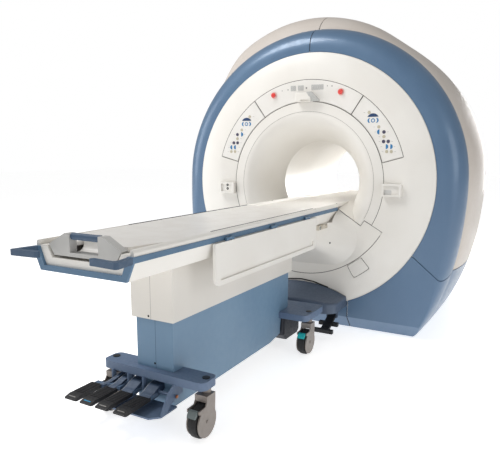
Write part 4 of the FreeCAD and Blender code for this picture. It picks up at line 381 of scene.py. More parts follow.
def hoop(profile, steps=48):
    """A ring turned about Z, from a closed line of (radius, height) points."""
    form = bmesh.new()
    rows = []
    for step in range(steps):
        turn = 2 * math.pi * step / steps
        rows.append([form.verts.new((radius * math.cos(turn), radius * math.sin(turn), height))
                     for radius, height in profile])
    for here, there in zip(rows, rows[1:] + rows[:1]):
        for i in range(len(profile)):
            j = (i + 1) % len(profile)
            form.faces.new((here[i], here[j], there[j], there[i]))
    return form


def extruded(corners, low, high, soften=0.0, rounds=2):
    """A flat outline given thickness along Z, with its top edges softened."""
    form = bmesh.new()
    base = form.faces.new([form.verts.new((x, y, low)) for x, y in corners])
    risen = bmesh.ops.extrude_face_region(form, geom=[base])
    tops = [item for item in risen["geom"] if isinstance(item, bmesh.types.BMVert)]
    bmesh.ops.translate(form, verts=tops, vec=(0, 0, high - low))
    if soften:
        edges = [edge for edge in form.edges if all(abs(v.co.z - high) < 1e-7 for v in edge.verts)]
        bmesh.ops.bevel(form, geom=edges, offset=soften, segments=rounds, affect="EDGES",
                        profile=0.5)
    return form


def prism_between(rows):
    """A closed form through rows of points that all have the same number."""
    form = bmesh.new()
    rings = [[form.verts.new(point) for point in row] for row in rows]
    form.faces.new(rings[0])
    form.faces.new(rings[-1][::-1])
    for here, there in zip(rings, rings[1:]):
        for i in range(len(here)):
            j = (i + 1) % len(here)
            form.faces.new((here[i], here[j], there[j], there[i]))
    return form


def disc_outline(radius, start=0.0, end=360.0, steps=28):
    """Corners of a circle, or of an arc when it stops short of the full turn."""
    span = [math.radians(start + (end - start) * i / steps) for i in range(steps + 1)]
    if end - start >= 360:
        span = span[:-1]
    return [(radius * math.cos(turn), radius * math.sin(turn)) for turn in span]


def box_outline(wide, high, corner=0.0, steps=4):
    """Corners of a rectangle about the origin, rounded by a corner radius."""
    if not corner:
        return [(-wide / 2, -high / 2), (wide / 2, -high / 2), (wide / 2, high / 2),
                (-wide / 2, high / 2)]
    points = []
    for sx, sy, start in ((1, -1, 270), (1, 1, 0), (-1, 1, 90), (-1, -1, 180)):
        for i in range(steps + 1):
            turn = math.radians(start + 90 * i / steps)
            points.append((sx * (wide / 2 - corner) + corner * math.cos(turn),
                           sy * (high / 2 - corner) + corner * math.sin(turn)))
    return points


def turned_to(form, facing, spot, upward=Vector((0, 0, 1))):
    """Lays a form's Z along facing and its Y toward upward, at a spot."""
    facing = Vector(facing).normalized()
    side = Vector(upward).cross(facing).normalized()
    above = facing.cross(side)
    place = Matrix((side, above, facing)).transposed().to_4x4()
    place.translation = Vector(spot)
    bmesh.ops.transform(form, matrix=place, verts=form.verts)
    return form


def merged(forms):
    """One form out of several."""
    whole = bmesh.new()
    for form in forms:
        part = bpy.data.meshes.new("part")
        form.to_mesh(part)
        form.free()
        whole.from_mesh(part)
        bpy.data.meshes.remove(part)
    return whole


# Repeats, built with Geometry Nodes

def tree_with(name, inputs):
    """A new geometry tree with its named inputs."""
    tree = bpy.data.node_groups.new(name, "GeometryNodeTree")
    for label, kind in inputs:
        tree.interface.new_socket(label, in_out="INPUT", socket_type="NodeSocket" + kind)
    tree.interface.new_socket("Result", in_out="OUTPUT", socket_type="NodeSocketGeometry")
    return tree, tree.nodes.new("NodeGroupInput").outputs


def ended(tree, built, finish):
    """Ends a tree in real geometry with its finish."""
    real = placed(tree, "GeometryNodeRealizeInstances", {"Geometry": built})
    paint = placed(tree, "GeometryNodeSetMaterial", {
        "Geometry": real.outputs["Geometry"], "Material": finish})
    placed(tree, "NodeGroupOutput", {"Result": paint.outputs["Geometry"]})
    return tree


def stamping_tree():
    """Copies a stamp to every point, facing the way that the point says."""
    tree, given = tree_with("stamps_on_points", (
        ("Spots", "Geometry"), ("Stamp", "Object"), ("Size", "Float"), ("Finish", "Material")))
    facing, upward, span = [
        placed(tree, "GeometryNodeInputNamedAttribute", {"Name": name}, data_type=kind)
        .outputs["Attribute"]
        for name, kind in (("facing", "FLOAT_VECTOR"), ("upward", "FLOAT_VECTOR"),
                           ("span", "FLOAT"))]
    first = placed(tree, "FunctionNodeAlignRotationToVector", {"Vector": facing}, axis="Z")
    second = placed(tree, "FunctionNodeAlignRotationToVector", {
        "Rotation": first.outputs["Rotation"], "Vector": upward}, axis="Y", pivot_axis="Z")
    grown = placed(tree, "ShaderNodeMath", {0: span, 1: given["Size"]}, operation="MULTIPLY")
    stamp = placed(tree, "GeometryNodeObjectInfo", {"Object": given["Stamp"]})
    copies = placed(tree, "GeometryNodeInstanceOnPoints", {
        "Points": given["Spots"], "Instance": stamp.outputs["Geometry"],
        "Rotation": second.outputs["Rotation"], "Scale": grown.outputs[0]})
    return ended(tree, copies.outputs["Instances"], given["Finish"])


def strip_tree():
    """Sweeps a rounded strip along a line."""
    tree, given = tree_with("strip_along_line", (
        ("Line", "Geometry"), ("Half Width", "Float"), ("Half Height", "Float"),
        ("Finish", "Material")))
    path = placed(tree, "GeometryNodeMeshToCurve", {"Mesh": given["Line"]})
    ring = placed(tree, "GeometryNodeCurvePrimitiveCircle", {"Resolution": 10, "Radius": 1.0})
    reach = placed(tree, "ShaderNodeCombineXYZ", {
        "X": given["Half Width"], "Y": given["Half Height"], "Z": 1.0})
    section = placed(tree, "GeometryNodeTransform", {
        "Geometry": ring.outputs["Curve"], "Scale": reach.outputs["Vector"]})
    sweep = placed(tree, "GeometryNodeCurveToMesh", {
        "Curve": path.outputs["Curve"], "Profile Curve": section.outputs["Geometry"],
        "Fill Caps": True})
    return ended(tree, sweep.outputs["Mesh"], given["Finish"])


STAMPS = stamping_tree()
STRIPS = strip_tree()


def worked_out(start, tree, values):
    """The plain mesh that a tree makes from a start mesh."""
    carrier = bpy.data.objects.new("carrier", start)
    bpy.context.scene.collection.objects.link(carrier)
    step = carrier.modifiers.new("build", "NODES")
    step.node_group = tree
    for item in tree.interface.items_tree:
        if item.in_out == "INPUT" and item.name in values:
            step[item.identifier] = values[item.name]
    view = bpy.context.evaluated_depsgraph_get()
    mesh = bpy.data.meshes.new_from_object(carrier.evaluated_get(view))
    carrier.modifiers.remove(step)
    bpy.data.objects.remove(carrier)
    return mesh


def stamped(name, form, spots, finish, body, slot, size=1.0):
    """Copies of one small form at spots of (place, facing, upward, span)."""
    template = bpy.data.objects.new("stamp", mesh_of("stamp", form))
    bpy.context.scene.collection.objects.link(template)
    start = bpy.data.meshes.new("spots")
    start.from_pydata([spot[0] for spot in spots], [], [])
    for index, label in ((1, "facing"), (2, "upward")):
        field = start.attributes.new(label, "FLOAT_VECTOR", "POINT")
        for item, spot in zip(field.data, spots):
            item.vector = spot[index]
    field = start.attributes.new("span", "FLOAT", "POINT")
    for item, spot in zip(field.data, spots):
        item.value = spot[3]
    mesh = worked_out(start, STAMPS, {"Stamp": template, "Size": size, "Finish": finish})
    bpy.data.objects.remove(template)
    for label in ("facing", "upward", "span"):
        if label in mesh.attributes:
            mesh.attributes.remove(mesh.attributes[label])
    return held(name, mesh, finish, body, slot)


def strip(name, line, half_width, half_height, finish, body, slot):
    """A rounded strip along a line of points."""
    start = bpy.data.meshes.new("line")
    start.from_pydata([tuple(point) for point in line],
                      [(i, i + 1) for i in range(len(line) - 1)], [])
    mesh = worked_out(start, STRIPS, {"Half Width": half_width, "Half Height": half_height,
                                      "Finish": finish})
    form = bmesh.new()
    form.from_mesh(mesh)
    return held(name, mesh_of(name, form), finish, body, slot)


SURFACES = {}


def touch(node, x, z, side=1.0, missing=RIM_Y):
    """Where a ray along the tunnel meets a solid: from the front, or the rear with side -1."""
    if node not in SURFACES:
        mesh = nodes[node].data
        SURFACES[node] = BVHTree.FromPolygons([v.co for v in mesh.vertices],
                                              [tuple(p.vertices) for p in mesh.polygons])
    start = Vector((x, -3.5 * side, z))
    spot, normal, _, _ = SURFACES[node].ray_cast(start, Vector((0, side, 0)))
    if spot is None:
        return (None if missing is None else Vector((x, missing, z))), Vector((0, -side, 0))
    if normal.y * side > 0:
        normal = -normal
    return spot, normal


UP = Vector((0, 0, 1))

dress_solids()


# Control panels and readouts

def on_panel(node, places):
    """Upright spots on a panel, from (x, z) or (x, z, span)."""
    spots = []
    for x, z, *span in places:
        spot, normal = touch(node, x, z)
        spots.append((spot, normal, UP, span[0] if span else 1.0))
    return spots


# Keys of the right control panel: (x, z) and how far beside the key its tick stands
KEYS = {
    "tan": [(0.447, 1.521, -0.032), (0.515, 1.427, -0.030), (0.552, 1.364, -0.030),
            (0.574, 1.268, -0.027), (0.605, 1.268, 0.025)],
    "dark": [(0.551, 1.394, 0.026), (0.551, 1.333, -0.027), (0.582, 1.333, 0.025)],
    "half_in": [(0.520, 1.395, -0.028)],
    "half_out": [(0.567, 1.300, -0.029), (0.597, 1.300, 0.027)],
    "dome": [(0.473, 1.500, 0)],
    "ring": [(0.475, 1.469, 0)],
}
KEY_SUNK = -0.001
KEY_RISE = 0.0016
KEY_SOFT = 0.0006
HALF_KEY_R = 0.016
TABLE_KEY = [(-0.038, -0.008), (0.038, -0.008), (0.030, 0.004), (0.016, 0.012),
             (0.002, 0.0145), (-0.014, 0.012), (-0.028, 0.004)]
LANDMARK_RING = [(0.0085, -0.001), (0.0135, -0.001), (0.0135, 0.0012), (0.0085, 0.0012)]
LANDMARK_ARC_REACH = 0.022
LANDMARK_ARC_R = 0.0155
LANDMARK_ARC_BITE = 0.009
TICK = (0.011, 0.0016)


def landmark_arc(turn):
    """A crescent that opens to one side."""
    outer = [(turn * x, y) for x, y in disc_outline(LANDMARK_ARC_R, 105, 255)]
    inner = [(turn * (x + LANDMARK_ARC_BITE), y)
             for x, y in disc_outline(LANDMARK_ARC_R - 0.0005, 245, 115)]
    outline = outer + inner
    return outline if turn > 0 else outline[::-1]


def build_control_keys():
    """Keys and their ticks on both control panels, mirrored."""
    for side, label in ((1, "right"), (-1, "left")):
        panel = "control_panel_" + label

        def key(name, outline, kind, finish, shift=0.0):
            spots = on_panel(panel, [(side * (x + shift), z) for x, z, _ in KEYS[kind]])
            form = extruded(outline, KEY_SUNK, KEY_RISE, KEY_SOFT)
            stamped("key_%s_%s" % (name, label), form, spots, finish, *GANTRY_WHITE)

        key("status", disc_outline(0.0105), "tan", key_tan)
        key("round", disc_outline(0.0115), "dark", key_dark)
        halves = [disc_outline(HALF_KEY_R, 90, 270), disc_outline(HALF_KEY_R, -90, 90)][::side]
        key("move_in", halves[0], "half_in", key_blue)
        key("move_out", halves[1], "half_out", key_blue)
        key("table", TABLE_KEY, "dome", key_navy)
        ring_spots = on_panel(panel, [(side * x, z) for x, z, _ in KEYS["ring"]])
        stamped("key_landmark_" + label, hoop(LANDMARK_RING, 32), ring_spots, key_blue,
                *GANTRY_WHITE)
        for way, turn in (("in", 1), ("out", -1)):
            key("landmark_arc_" + way, landmark_arc(turn), "ring", key_blue,
                -turn * side * LANDMARK_ARC_REACH)
        ticks = [(side * (x + beside), z)
                 for kind in KEYS for x, z, beside in KEYS[kind] if beside]
        stamped("ticks_" + label, extruded(box_outline(*TICK), -0.0006, 0.0005),
                on_panel(panel, ticks), grey_marks_and_highlights, *GANTRY_WHITE)


# Readout windows of the display panel: middle, width and number of digits
READOUTS = [(-0.0995, 0.041, 2), (-0.043, 0.044, 2), (0.080, 0.090, 5)]
READOUT_HEIGHT = 0.036
READOUT_MARGIN = 0.002
DIGIT_ROW = 0.012
DIGIT_HALF = 0.006
SEGMENT = box_outline(0.0105, 0.0024, 0.0008, 2)
LAMPS = [(-0.185, 1.690, 0.8), (-0.14, 1.695, 1.0), (-0.001, 1.700, 1.4), (0.152, 1.706, 0.8),
         (0.185, 1.703, 1.1)]
LAMP_LINE = [(0, -0.001), (0.0042, -0.001), (0.0042, 0.0006), (0.003, 0.0012), (0, 0.0014)]
READOUT_Z = 1.702


def build_readouts():
    """Windows, unlit digit segments and small lamps of the display panel."""
    frames = []
    digits = []
    for middle, wide, count in READOUTS:
        spot, normal = touch("display_panel", middle, READOUT_Z)
        window = extruded(box_outline(wide, READOUT_HEIGHT, 0.003), -0.001, 0.0012, 0.0006)
        frames.append(turned_to(window, normal, spot))
        pitch = (wide - 2 * READOUT_MARGIN) / count
        digits += [middle - wide / 2 + READOUT_MARGIN + pitch * (i + 0.5) for i in range(count)]
    held("readout_windows", mesh_of("readout_windows", merged(frames)), window_grey, *GANTRY_WHITE)
    flat = [(x, READOUT_Z + rise) for x in digits for rise in (-DIGIT_ROW, 0.0, DIGIT_ROW)]
    upright = [(x + dx, READOUT_Z + dz) for x in digits for dx in (-DIGIT_HALF, DIGIT_HALF)
               for dz in (-DIGIT_HALF, DIGIT_HALF)]
    proud = Vector((0, -0.0012, 0))
    turned = [(y, x) for x, y in reversed(SEGMENT)]
    for name, places, outline in (("flat", flat, SEGMENT), ("upright", upright, turned)):
        spots = [(spot + proud, *rest) for spot, *rest in on_panel("display_panel", places)]
        stamped("readout_segments_" + name, extruded(outline, -0.0006, 0.0004), spots,
                segment_grey, *GANTRY_WHITE)
    stamped("readout_lamps", lathe(LAMP_LINE, 20), on_panel("display_panel", LAMPS), grey_marks_and_highlights,
            *GANTRY_WHITE)


# The tilted plate, seen from the front, and how far its foot stands out
TILTED_PLATE = [(0.022, 1.668), (0.048, 1.606), (0.104, 1.606), (0.110, 1.612), (0.060, 1.669)]
TILTED_TOP = 1.668
TILTED_DROP = 0.062
TILTED_REACH = 0.030


def build_alignment_window():
    """The tilted grey plate beside the alignment light."""
    low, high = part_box("alignment_light")
    form = extruded(TILTED_PLATE, 0.0, 0.010, 0.003, 3)
    turn = Matrix(((1, 0, 0), (0, 0, -1), (0, 1, 0))).to_4x4()
    bmesh.ops.transform(form, matrix=turn, verts=form.verts)
    for vert in form.verts:
        lean = (TILTED_TOP - vert.co.z) / TILTED_DROP
        vert.co.y += low.y - 0.004 + TILTED_REACH * lean
    held("alignment_window", mesh_of("alignment_window", form), tilted_grey, *GANTRY_WHITE)


# Lines turned into the stop buttons: (radius, height)
STOP_CAP = [(0, 0.0), (0.017, 0.0), (0.0172, 0.001), (0.0172, 0.0055), (0.0155, 0.0075),
            (0.012, 0.0085), (0.006, 0.009), (0, 0.0091)]
STOP_STEM = [(0, -0.022), (0.006, -0.022), (0.006, 0.0005), (0, 0.0005)]
STOP_COLLAR = [(0.0178, -0.004), (0.0235, -0.004), (0.0235, 0.0), (0.0225, 0.0012),
               (0.0188, 0.0012), (0.0178, 0.0)]
STOP_HEIGHT = 0.009
COLLAR_PROBE = 0.02


def build_stops():
    """Red stop buttons on their stems, with a pale collar round each."""
    for label in ("left", "right"):
        node = "estop_" + label
        low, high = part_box(node)
        middle = (low + high) / 2
        forms = [turned_to(form, (0, -1, 0), (middle.x, low.y + STOP_HEIGHT, middle.z))
                 for form in (lathe(STOP_CAP), lathe(STOP_STEM, 24))]
        button = held("stop_button_" + label, mesh_of("stop", merged(forms)), stop_red,
                      "stop_button_" + label, "stop_red")
        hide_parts(node)
        spot, normal = touch("display_panel", middle.x + COLLAR_PROBE, middle.z)
        collar = turned_to(hoop(STOP_COLLAR), normal, (middle.x, spot.y, middle.z))
        held("stop_collar_" + label, mesh_of("collar", collar), stop_ring, *GANTRY_WHITE)


# Painted shade in seams and gaps, a painted highlight, and small fittings

FRONT = ["front_fascia", "front_bore_flare", "lower_front_cover", "access_flap", "display_panel",
         "control_panel_left", "control_panel_right", "bezel_upper_left", "bezel_upper_right",
         "bezel_lower_left", "bezel_lower_right", "bezel_bottom"]


def front_at(x, z, around=0.0):
    """The foremost skin of the gantry at or around a place, and its normal."""
    best = None
    for dx, dz in ((0, 0), (around, 0), (-around, 0), (0, around), (0, -around)):
        for name in FRONT:
            spot, normal = touch(name, x + dx, z + dz, missing=None)
            if spot is not None and (best is None or spot.y < best[0].y):
                best = (Vector((x, spot.y, z)), normal)
    return best


def polar(radius, degrees):
    """A place (x, z) on a circle about the tunnel's axis, from the top towards the right."""
    turn = math.radians(degrees)
    return radius * math.sin(turn), AXIS_Z + radius * math.cos(turn)


# Half widths of the strips of painted shade in the seams, how far a panel's seam ends from the
# ring seams, and how far beside a seam its skin is felt for
FINE_SEAM = 0.0013
SEAM = 0.0020
WIDE_SEAM = 0.0022
RIM_SEAM = 0.0028
HEM_SEAM = 0.0034
SEAM_STOP = 0.003
BESIDE = 0.006


def lay_seam_shade(name, places, half, finish, depth=0.0006):
    """A strip of painted shade laid into the seam that runs through places (x, z) of the fascia.
    """
    line = []
    for x, z in places:
        spot = front_at(x, z, BESIDE)[0]
        line.append(spot + Vector((0, half - depth, 0)))
    strip(name, line, half, half, finish, *GANTRY_WHITE)


def along_arc(radius, start, end):
    """Places every degree along an arc about the tunnel's axis."""
    steps = max(2, int(abs(end - start)))
    return [polar(radius, start + (end - start) * i / steps) for i in range(steps + 1)]


def along_line(first, last, steps=10):
    """Places in equal steps between two."""
    return [(first[0] + (last[0] - first[0]) * i / steps,
             first[1] + (last[1] - first[1]) * i / steps) for i in range(steps + 1)]


def close_line(corners, steps):
    """A line through all the corners, with each stretch in equal steps."""
    points = []
    for first, last in zip(corners, corners[1:]):
        points += along_line(first, last, steps)[:-1]
    return points + [corners[-1]]


# The dock's crown where it meets the fascia: (x, z)
DOCK_CROWN = [(-0.335, 0.250), (-0.263, 0.286), (-0.204, 0.305), (-0.093, 0.336), (0, 0.345),
              (0.093, 0.336), (0.204, 0.305), (0.263, 0.286), (0.335, 0.250)]
# The black strip of painted shade: where it ends, its half width and lift; the grey strip of
# painted highlight: where it starts and its half width
DOCK_SHADE_END_X = 0.206
DOCK_SHADE_HALF = 0.0045
DOCK_SHADE_LIFT = 0.003
EDGE_LIGHT_X = 0.195
EDGE_LIGHT_HALF = 0.002


def build_shade_over_dock():
    """Painted shade: a black strip in the gap where the dock's top meets the fascia, with a thin
    grey strip past its right end as a painted highlight on the panel edge.
    """
    points = []
    for x, z in close_line(DOCK_CROWN, 4):
        spot = front_at(x, z + BESIDE)[0]
        points.append(Vector((x, spot.y - DOCK_SHADE_LIFT, z + DOCK_SHADE_LIFT)))
    black = [point for point in points if point.x < DOCK_SHADE_END_X]
    grey = [point for point in points if point.x > EDGE_LIGHT_X]
    strip("dock_seal", black, DOCK_SHADE_HALF, DOCK_SHADE_HALF, rubber, "gantry", "dock_blue")
    strip("dock_seal_end", grey, EDGE_LIGHT_HALF, EDGE_LIGHT_HALF, grey_marks_and_highlights, "gantry", "dock_blue")


# Dark strips of painted shade in the gaps beside the cradle: their x, ends and half widths
CRADLE_GAP_X = 0.237
CRADLE_GAP_ENDS = (-2.50, -1.315)
CRADLE_GAP_HALVES = (0.0032, 0.0022)


def build_shade_beside_cradle():
    """Painted shade: dark strips in the gaps beside the cradle."""
    for side, label in ((1, "right"), (-1, "left")):
        line = [Vector((side * CRADLE_GAP_X, y, TABLE_TOP - 0.0005)) for y in CRADLE_GAP_ENDS]
        strip("strap_rail_" + label, line, *CRADLE_GAP_HALVES, gap_shade_paint, "table_top", "cover_white")


def build_fascia_seam_shade():
    """Painted shade: dark strips in the ring, panel and bib seams of the front, and a paler one in
    the mouth seam.
    """
    lay_seam_shade("collar_seam", along_arc(COLLAR_R, -118, 118), WIDE_SEAM, dark_seam_shade)
    lay_seam_shade("control_ring_seam", along_arc(CONTROL_RING_R, -74.7, 74.7), SEAM, dark_seam_shade)
    lay_seam_shade("mouth_seam", along_arc(MOUTH_R, -117, 117), FINE_SEAM, faint_seam_shade, 0.0012)
    for side, label in ((1, "right"), (-1, "left")):
        for index, degrees in enumerate(PANEL_ENDS):
            ends = [polar(radius, side * degrees)
                    for radius in (COLLAR_R + SEAM_STOP, CONTROL_RING_R - SEAM_STOP)]
            lay_seam_shade("panel_seam_%d_%s" % (index, label), along_line(*ends), SEAM, dark_seam_shade)
        inner = [polar(radius, side * BIB_INNER_END) for radius in (FLARE_R, BIB_STEP_R - 0.001)]
        outer = [polar(radius, side * BIB_OUTER_END) for radius in (BIB_STEP_R + 0.001, HEM_R)]
        lay_seam_shade("bib_edge_" + label, along_line(*inner) + along_line(*outer), WIDE_SEAM, dark_seam_shade)
    lay_seam_shade("bib_hem", along_arc(HEM_R, 121, 239), HEM_SEAM, dark_seam_shade)


def flap_outline(node, grow):
    """The outer outline of a plate seen along the tunnel, moved out by grow."""
    spots = sorted({(round(v.co.x, 4), round(v.co.z, 4)) for v in nodes[node].data.vertices})

    def half(points):
        chain = []
        for x, z in points:
            while len(chain) > 1 and ((chain[-1][0] - chain[-2][0]) * (z - chain[-2][1])
                                      - (chain[-1][1] - chain[-2][1]) * (x - chain[-2][0])) <= 0:
                chain.pop()
            chain.append((x, z))
        return chain[:-1]

    ring = half(spots) + half(spots[::-1])
    middle_x = sum(x for x, _ in ring) / len(ring)
    middle_z = sum(z for _, z in ring) / len(ring)
    grown = []
    for x, z in ring:
        reach = math.hypot(x - middle_x, z - middle_z)
        share = 1 + grow / reach
        grown.append((middle_x + (x - middle_x) * share, middle_z + (z - middle_z) * share))
    return grown


def build_shade_in_rim_seams():
    """Painted shade: dark strips in the two upright seams at the foot of the rim."""
    low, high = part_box("bezel_bottom")
    seam_x = high.x + 0.0015
    sunk = Vector((0, 0.0035, 0))
    for side, label in ((1, "right"), (-1, "left")):
        ends = [(side * seam_x, low.z + 0.004), (side * seam_x, high.z - 0.008)]
        line = [front_at(x, z, BESIDE)[0] + sunk for x, z in along_line(*ends, 12)]
        strip("rim_seam_" + label, line, RIM_SEAM, RIM_SEAM, gap_shade_paint, "gantry", "bezel_blue")


def build_flap_seam_shade():
    """Painted shade in the thin seam round the access flap, left open where the bib's hem runs
    past it.
    """
    ring = flap_outline("access_flap", 0.002)
    dense = []
    for (x0, z0), (x1, z1) in zip(ring, ring[1:] + ring[:1]):
        steps = max(1, int(math.hypot(x1 - x0, z1 - z0) / 0.008))
        dense += along_line((x0, z0), (x1, z1), steps)[:-1]
    clear = [math.hypot(x, z - AXIS_Z) > HEM_R + 0.010 for x, z in dense]
    first = next(i for i in range(len(dense)) if clear[i] and not clear[i - 1])
    kept = [spot for spot, free in zip(dense[first:] + dense[:first],
                                       clear[first:] + clear[:first]) if free]
    lay_seam_shade("flap_seam", kept, FINE_SEAM, dark_seam_shade, 0.001)


SCREW = [(0, -0.002), (0.0062, -0.002), (0.0062, 0.0004), (0.0052, 0.0010), (0.0030, 0.0010),
         (0.0022, 0.0002), (0, 0.0002)]
BIB_SCREW = (0.250, 0.652)
BRIDGE_SCREW = (0.249, -0.903)
WALL_SCREWS = [("upper_column_cover", "table_top", -0.020, 0.520, "cover_white"),
               ("lower_column_cover", "table_base", -0.002, 0.289, "column_blue")]
# Rings of screws on the rear fascia: radius, number and first angle
REAR_SCREWS = [(0.800, 12, 15.0), (0.47, 8, 22.5)]


def build_screws():
    """Dark screw heads on the front, the foot walls and the rear covers."""
    front = []
    for side in (1, -1):
        spot, normal = front_at(side * BIB_SCREW[0], BIB_SCREW[1])
        front.append((spot, normal, UP, 1.0))
    for side in (1, -1):
        place = Vector((side * BRIDGE_SCREW[0], BRIDGE_SCREW[1], TABLE_TOP + 0.0005))
        front.append((place, UP, Vector((0, 1, 0)), 0.8))
    stamped("front_screws", lathe(SCREW, 20), front, rubber, *GANTRY_WHITE)
    for node, body, x, z, slot in WALL_SCREWS:
        stamped("wall_screw_" + body, lathe(SCREW, 20), [(*touch(node, x, z), UP, 1.0)], rubber,
                body, slot, 0.85)
    rear = []
    for radius, count, start in REAR_SCREWS:
        for i in range(count):
            x, z = polar(radius, start + 360.0 * i / count)
            spot, normal = touch("rear_fascia", x, z, -1.0, None)
            if spot is not None:
                rear.append((spot, normal, UP, 1.0))
    stamped("rear_screws", lathe(SCREW, 20), rear, grey_marks_and_highlights, *GANTRY_WHITE)


# The scoop's line (y, z), its wall and the places across it
CUP_LINE = [(-2.9905, 0.8735), (-2.978, 0.8745), (-2.967, 0.879), (-2.9595, 0.887),
            (-2.9560, 0.898), (-2.9545, 0.9095)]
CUP_WALL = 0.0018
CUP_STATIONS = (-0.0725, -0.036, 0.0, 0.036, 0.0725)


def build_finger_cup():
    """The white scoop behind the cradle's handle."""
    outline = CUP_LINE + [(y + CUP_WALL, z - CUP_WALL) for y, z in CUP_LINE][::-1]
    form = prism_between([[(x, y, z) for y, z in outline] for x in CUP_STATIONS])
    held("finger_cup", mesh_of("finger_cup", form), cradle_white, "patient_cradle", "cover_white")


JACK = [(0.0030, -0.002), (0.0095, -0.002), (0.0095, 0.0012), (0.0078, 0.0020), (0.0030, 0.0006)]
JACK_X = -0.622
JACK_ZS = (1.018, 0.990)
LIP_PLACE = (0.600, 1.000)


def build_ports():
    """Two jacks in the left port box and a lipped recess on the right one."""
    jacks = [(*touch("port_boxes", JACK_X, z), UP, 1.0) for z in JACK_ZS]
    stamped("port_jacks", hoop(JACK, 24), jacks, rubber, *GANTRY_WHITE)
    spot, normal = touch("port_boxes", *LIP_PLACE)
    lip = extruded(box_outline(0.050, 0.040, 0.004), -0.001, 0.0010, 0.0005)
    held("port_lip", mesh_of("lip", turned_to(lip, normal, spot)), window_grey, *GANTRY_WHITE)


# Plug rings on the socket blocks: the block's face and each ring's (y, z)
SOCKET_FACE_X = 0.2372
SOCKET_PLACES = [(-1.170, 0.772), (-1.115, 0.775), (-1.060, 0.778)]
SOCKET_RING = [(0.0060, -0.003), (0.0112, -0.003), (0.0112, 0.0006), (0.0098, 0.0016),
               (0.0072, 0.0016), (0.0060, 0.0006)]
SOCKET_CORE = [(0, -0.003), (0.0088, -0.003), (0.0088, 0.0008), (0.0070, 0.0014), (0, 0.0014)]


def build_socket_rings():
    """Plug rings on the coil socket blocks beside the snout."""
    for side, label in ((1, "right"), (-1, "left")):
        spots = [(Vector((side * SOCKET_FACE_X, y, z)), Vector((side, 0, 0)), UP, 1.0)
                 for y, z in SOCKET_PLACES]
        stamped("socket_rings_" + label, hoop(SOCKET_RING, 28), spots[::2], lever_grey, "gantry",
                "socket_beige")
        stamped("socket_core_" + label, lathe(SOCKET_CORE, 24), spots[1:2], socket_green,
                "gantry", "socket_beige")


# Casters

WHEEL_R = 0.08
WHEEL_HALF = 0.021
DISC_R = 0.0635
AXLE_R = 0.0083


def wheel_forms():
    """Tyre and disc of one wheel, about Z, with their middle at the origin."""
    half = WHEEL_HALF
    tyre_half = [(DISC_R - 0.0005, half - 0.001), (0.071, half), (0.0765, half - 0.0015),
                 (0.0793, half - 0.006), (WHEEL_R, half - 0.013)]
    disc_half = [(AXLE_R, half + 0.001), (0.016, half + 0.001), (0.018, half - 0.0005),
                 (0.024, half - 0.002), (0.050, half - 0.002), (0.056, half + 0.0005),
                 (DISC_R, half + 0.0005)]
    return [hoop([(radius, -height) for radius, height in line] + line[::-1], 72)
            for line in (tyre_half, disc_half)]


def build_casters():
    """Turned tyres and discs in place of the plain wheels."""
    for end in ("foot", "head"):
        for side in ("left", "right"):
            tag = "%s_%s" % (end, side)
            low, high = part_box("wheel_" + tag)
            names = (("tyre_", tyre_rubber), ("wheel_disc_", disc_grey))
            for form, (name, finish) in zip(wheel_forms(), names):
                turned_to(form, (1, 0, 0), (low + high) / 2)
                piece = held(name + tag, mesh_of("wheel", form), finish, "roller_" + tag,
                             "wheel_grey")
                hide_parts("wheel_" + tag)


# Pedals

# Each foot pedal: its pad's middle, its arm's middle at the pad and at the shaft, the arm's width
PEDALS = [("a", -0.275, -0.2405, -0.199, 0.022), ("b", -0.181, -0.181, -0.159, 0.036),
          ("c", -0.088, -0.088, -0.086, 0.060), ("d", 0.017, 0.017, 0.020, 0.062)]
ALONG = Vector((0, 1, 0))
RIB_ROWS = 9
FIRST_RIB_Y = -2.735
RIB_PITCH = 0.0125
PAD_TOP_Z = 0.1698
NOSE_LINE_PLACE = (-2.880, 0.1660)
NOSE_FACING = Vector((0, -8, 30)).normalized()


def build_pedal_ribs():
    """Tread ribs on each pad, and a line across its nose: a cyan accent on pad b, a grey painted
    highlight on the others.
    """
    for letter, middle, *_ in PEDALS:
        spots = [(Vector((middle, FIRST_RIB_Y - RIB_PITCH * row, PAD_TOP_Z)), UP, ALONG, 1.0)
                 for row in range(RIB_ROWS)]
        rib = extruded(box_outline(0.056, 0.0052, 0.0022), -0.001, 0.0016, 0.0008)
        stamped("pedal_ribs_" + letter, rib, spots, rubber, "pedal_" + letter, "pedal_black")
        line = extruded(box_outline(0.040, 0.0045, 0.002), -0.0008, 0.0012, 0.0005)
        turned_to(line, NOSE_FACING, (middle, *NOSE_LINE_PLACE), ALONG)
        held("pedal_mark_" + letter, mesh_of("mark", line), cyan if letter == "b" else grey_marks_and_highlights,
             "pedal_" + letter, "pedal_black")


# An arm's outline (y, z): its upper edge is the stretch from the second point to the fifth
ARM_LINE = [(-2.728, 0.1535), (-2.728, 0.1712), (-2.700, 0.1800), (-2.662, 0.2000),
            (-2.600, 0.2110), (-2.600, 0.1930), (-2.640, 0.1600), (-2.700, 0.1500)]
ARM_CRANK = 0.05
ARM_HIGHLIGHT_HALVES = (0.0014, 0.0010)


